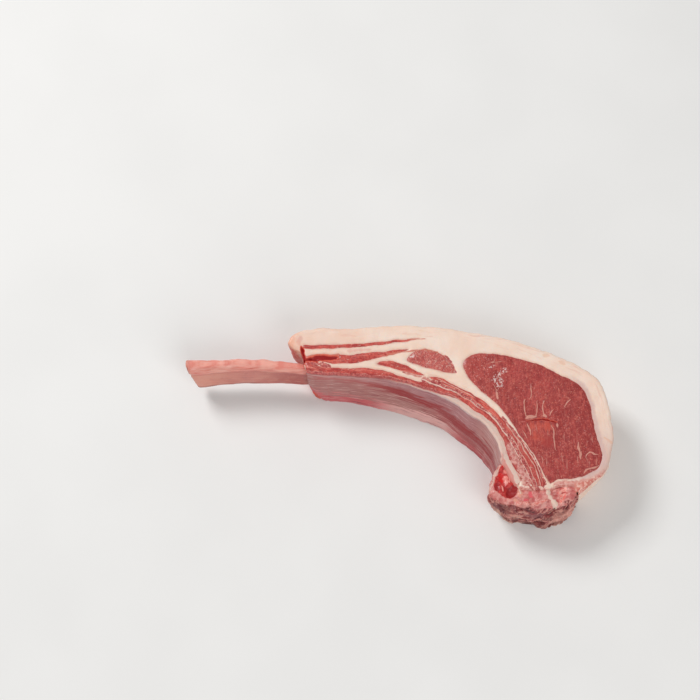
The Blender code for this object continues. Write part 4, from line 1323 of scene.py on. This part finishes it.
class CHOP_OT_chine(bpy.types.Operator):
    """Builds the sawn chine bone"""

    bl_idname = "chop.chine"
    bl_label = "Chine bone"

    def execute(self, context):
        voxel = context.scene.chop_sizes.bone_voxel
        points, normals, faces = remeshed("chine_bone", voxel, 2)
        x, y, z = points.T
        raised = ramp(0.5, 3.0, z)
        facing = ramp(-0.05, 0.3, normals[:, 2])
        steep = ramp(0.8, 0.2, normals[:, 2])
        areas = {**CHINE_AREAS, **{key: AREAS[key] for key in ("fleshy", "bony", "cream")}}
        values = {key: area_value(points[:, :2], parts) for key, parts in areas.items()}
        hollow = np.array(CHINE_HOLLOW)
        away = to_line(hollow, points[:, :2], True)[0]
        values["cavity"] = np.where(inside(hollow, points[:, :2]), -away, away)
        values = {key: value + OFF_FACE * (1.0 - facing) for key, value in values.items()}
        crag = shape(points, CHINE_LUMPS) + steep * shape(points, CHINE_FRONT_LUMPS)
        middle, hang = RIDGE_BOWL
        bowl = hang * (points[:, :1] - middle)**2
        layered = (points - (0.0, 0.0, 1.0) * bowl) * RIDGE_DRAWN
        fold = np.zeros(len(points))
        for height, size, seed in CHINE_RIDGES:
            ridge = 0.5 - 2.0 * abs(lumps(layered, size, seed))
            crag += steep * height * ridge
            fold += ridge if size < 3.0 else 0.0
        out = CHINE_GROWN + crag + CHINE_ROOT * ramp(-24.0, -19.0, y)
        for key, rise in CHINE_RISE.items():
            out += rise * ramp(0.4, -0.8, values[key])
        points = points + normals * (out * raised)[:, None]
        foot = ramp(0.2, 0.5, normals @ TO_MEAT) * (1.0 - raised)
        points[:, :2] += normals[:, :2] * (CHINE_FOOT * foot)[:, None]
        points[:, 2] = np.maximum(points[:, 2], FOOT_LIFT * foot)
        for key, spots in CHINE_FRONT.items():
            near = [ramp(1.5, 0.5, np.hypot((x - cx) / rx, (z - cz) / rz))
                    for cx, cz, rx, rz in spots]
            values[key + "_front"] = np.max(near, 0) * steep
        front = ramp(0.75, 0.25, normals[:, 2]) * ramp(-30.0, -33.0, y)
        values["rind"] = (ramp(-0.95, -0.8, normals[:, 2])
                          * np.maximum(front, 0.7 * ramp(-39.0, -41.0, y)))
        values.update(crag=crag, fold=fold, height=z)
        as_piece("chine_bone_sawn", points, faces, values,
                 sawn_bone("sawn_backbone"), "chine_bone")
        return {"FINISHED"}


class CHOP_OT_stage(bpy.types.Operator):
    """Builds the pale floor, the soft studio light and the camera"""

    bl_idname = "chop.stage"
    bl_label = "Stage"

    def execute(self, context):
        scene = context.scene
        bpy.ops.object.select_all(action="DESELECT")
        bpy.ops.mesh.primitive_plane_add(size=6.0, location=(0.0, 0.0, 0.0))
        floor = context.active_object
        floor.name = "floor"
        floor.data.materials.append(pale_board("matt_pale_board"))

        camera_data = bpy.data.cameras.new("camera")
        camera_data.sensor_width = 36.0
        camera_data.lens = CAMERA_LENS
        camera_data.clip_start = 0.05
        camera = placed("camera", camera_data)
        camera.location = Vector(CAMERA_PLACE) * MM
        camera.rotation_euler = (CAMERA_TURN, 0.0, 0.0)
        scene.camera = camera

        for name, place, size, power in SOFTBOXES:
            light = bpy.data.lights.new(name, "AREA")
            light.shape = "SQUARE"
            light.size = size
            light.energy = power
            lamp = placed(name, light)
            lamp.location = place
            lamp.rotation_euler = (-Vector(place)).to_track_quat("-Z", "Y").to_euler()

        world = bpy.data.worlds.new("studio")
        world.use_nodes = True
        background = world.node_tree.nodes["Background"]
        background.inputs["Color"].default_value = linear("F4F4F4")
        background.inputs["Strength"].default_value = ROOM_LIGHT
        scene.world = world
        scene.view_settings.view_transform = "Standard"
        return {"FINISHED"}


class CHOP_PT_panel(bpy.types.Panel):
    """The chop's sizes, colours and building steps"""

    bl_label = "Lamb Rib Chop"
    bl_idname = "CHOP_PT_panel"
    bl_space_type = "VIEW_3D"
    bl_region_type = "UI"
    bl_category = "Chop"

    def draw(self, context):
        for group in (context.scene.chop_sizes, context.scene.chop_colours):
            for key in group.__annotations__:
                self.layout.prop(group, key)
        for operator in OPERATORS:
            self.layout.operator(operator.bl_idname)


OPERATORS = (CHOP_OT_stage, CHOP_OT_eye, CHOP_OT_small_muscles, CHOP_OT_fat, CHOP_OT_membrane,
             CHOP_OT_rib, CHOP_OT_chine)
CLASSES = (ChopSizes, ChopColours, *OPERATORS, CHOP_PT_panel)


def register():
    for each in CLASSES:
        bpy.utils.register_class(each)
    bpy.types.Scene.chop_sizes = PointerProperty(type=ChopSizes)
    bpy.types.Scene.chop_colours = PointerProperty(type=ChopColours)


def unregister():
    del bpy.types.Scene.chop_colours
    del bpy.types.Scene.chop_sizes
    for each in reversed(CLASSES):
        bpy.utils.unregister_class(each)


def main():
    """Builds the whole chop and its stage."""
    register()
    for operator in OPERATORS:
        group, action = operator.bl_idname.split(".")
        getattr(getattr(bpy.ops, group), action)()


if __name__ == "__main__":
    main()
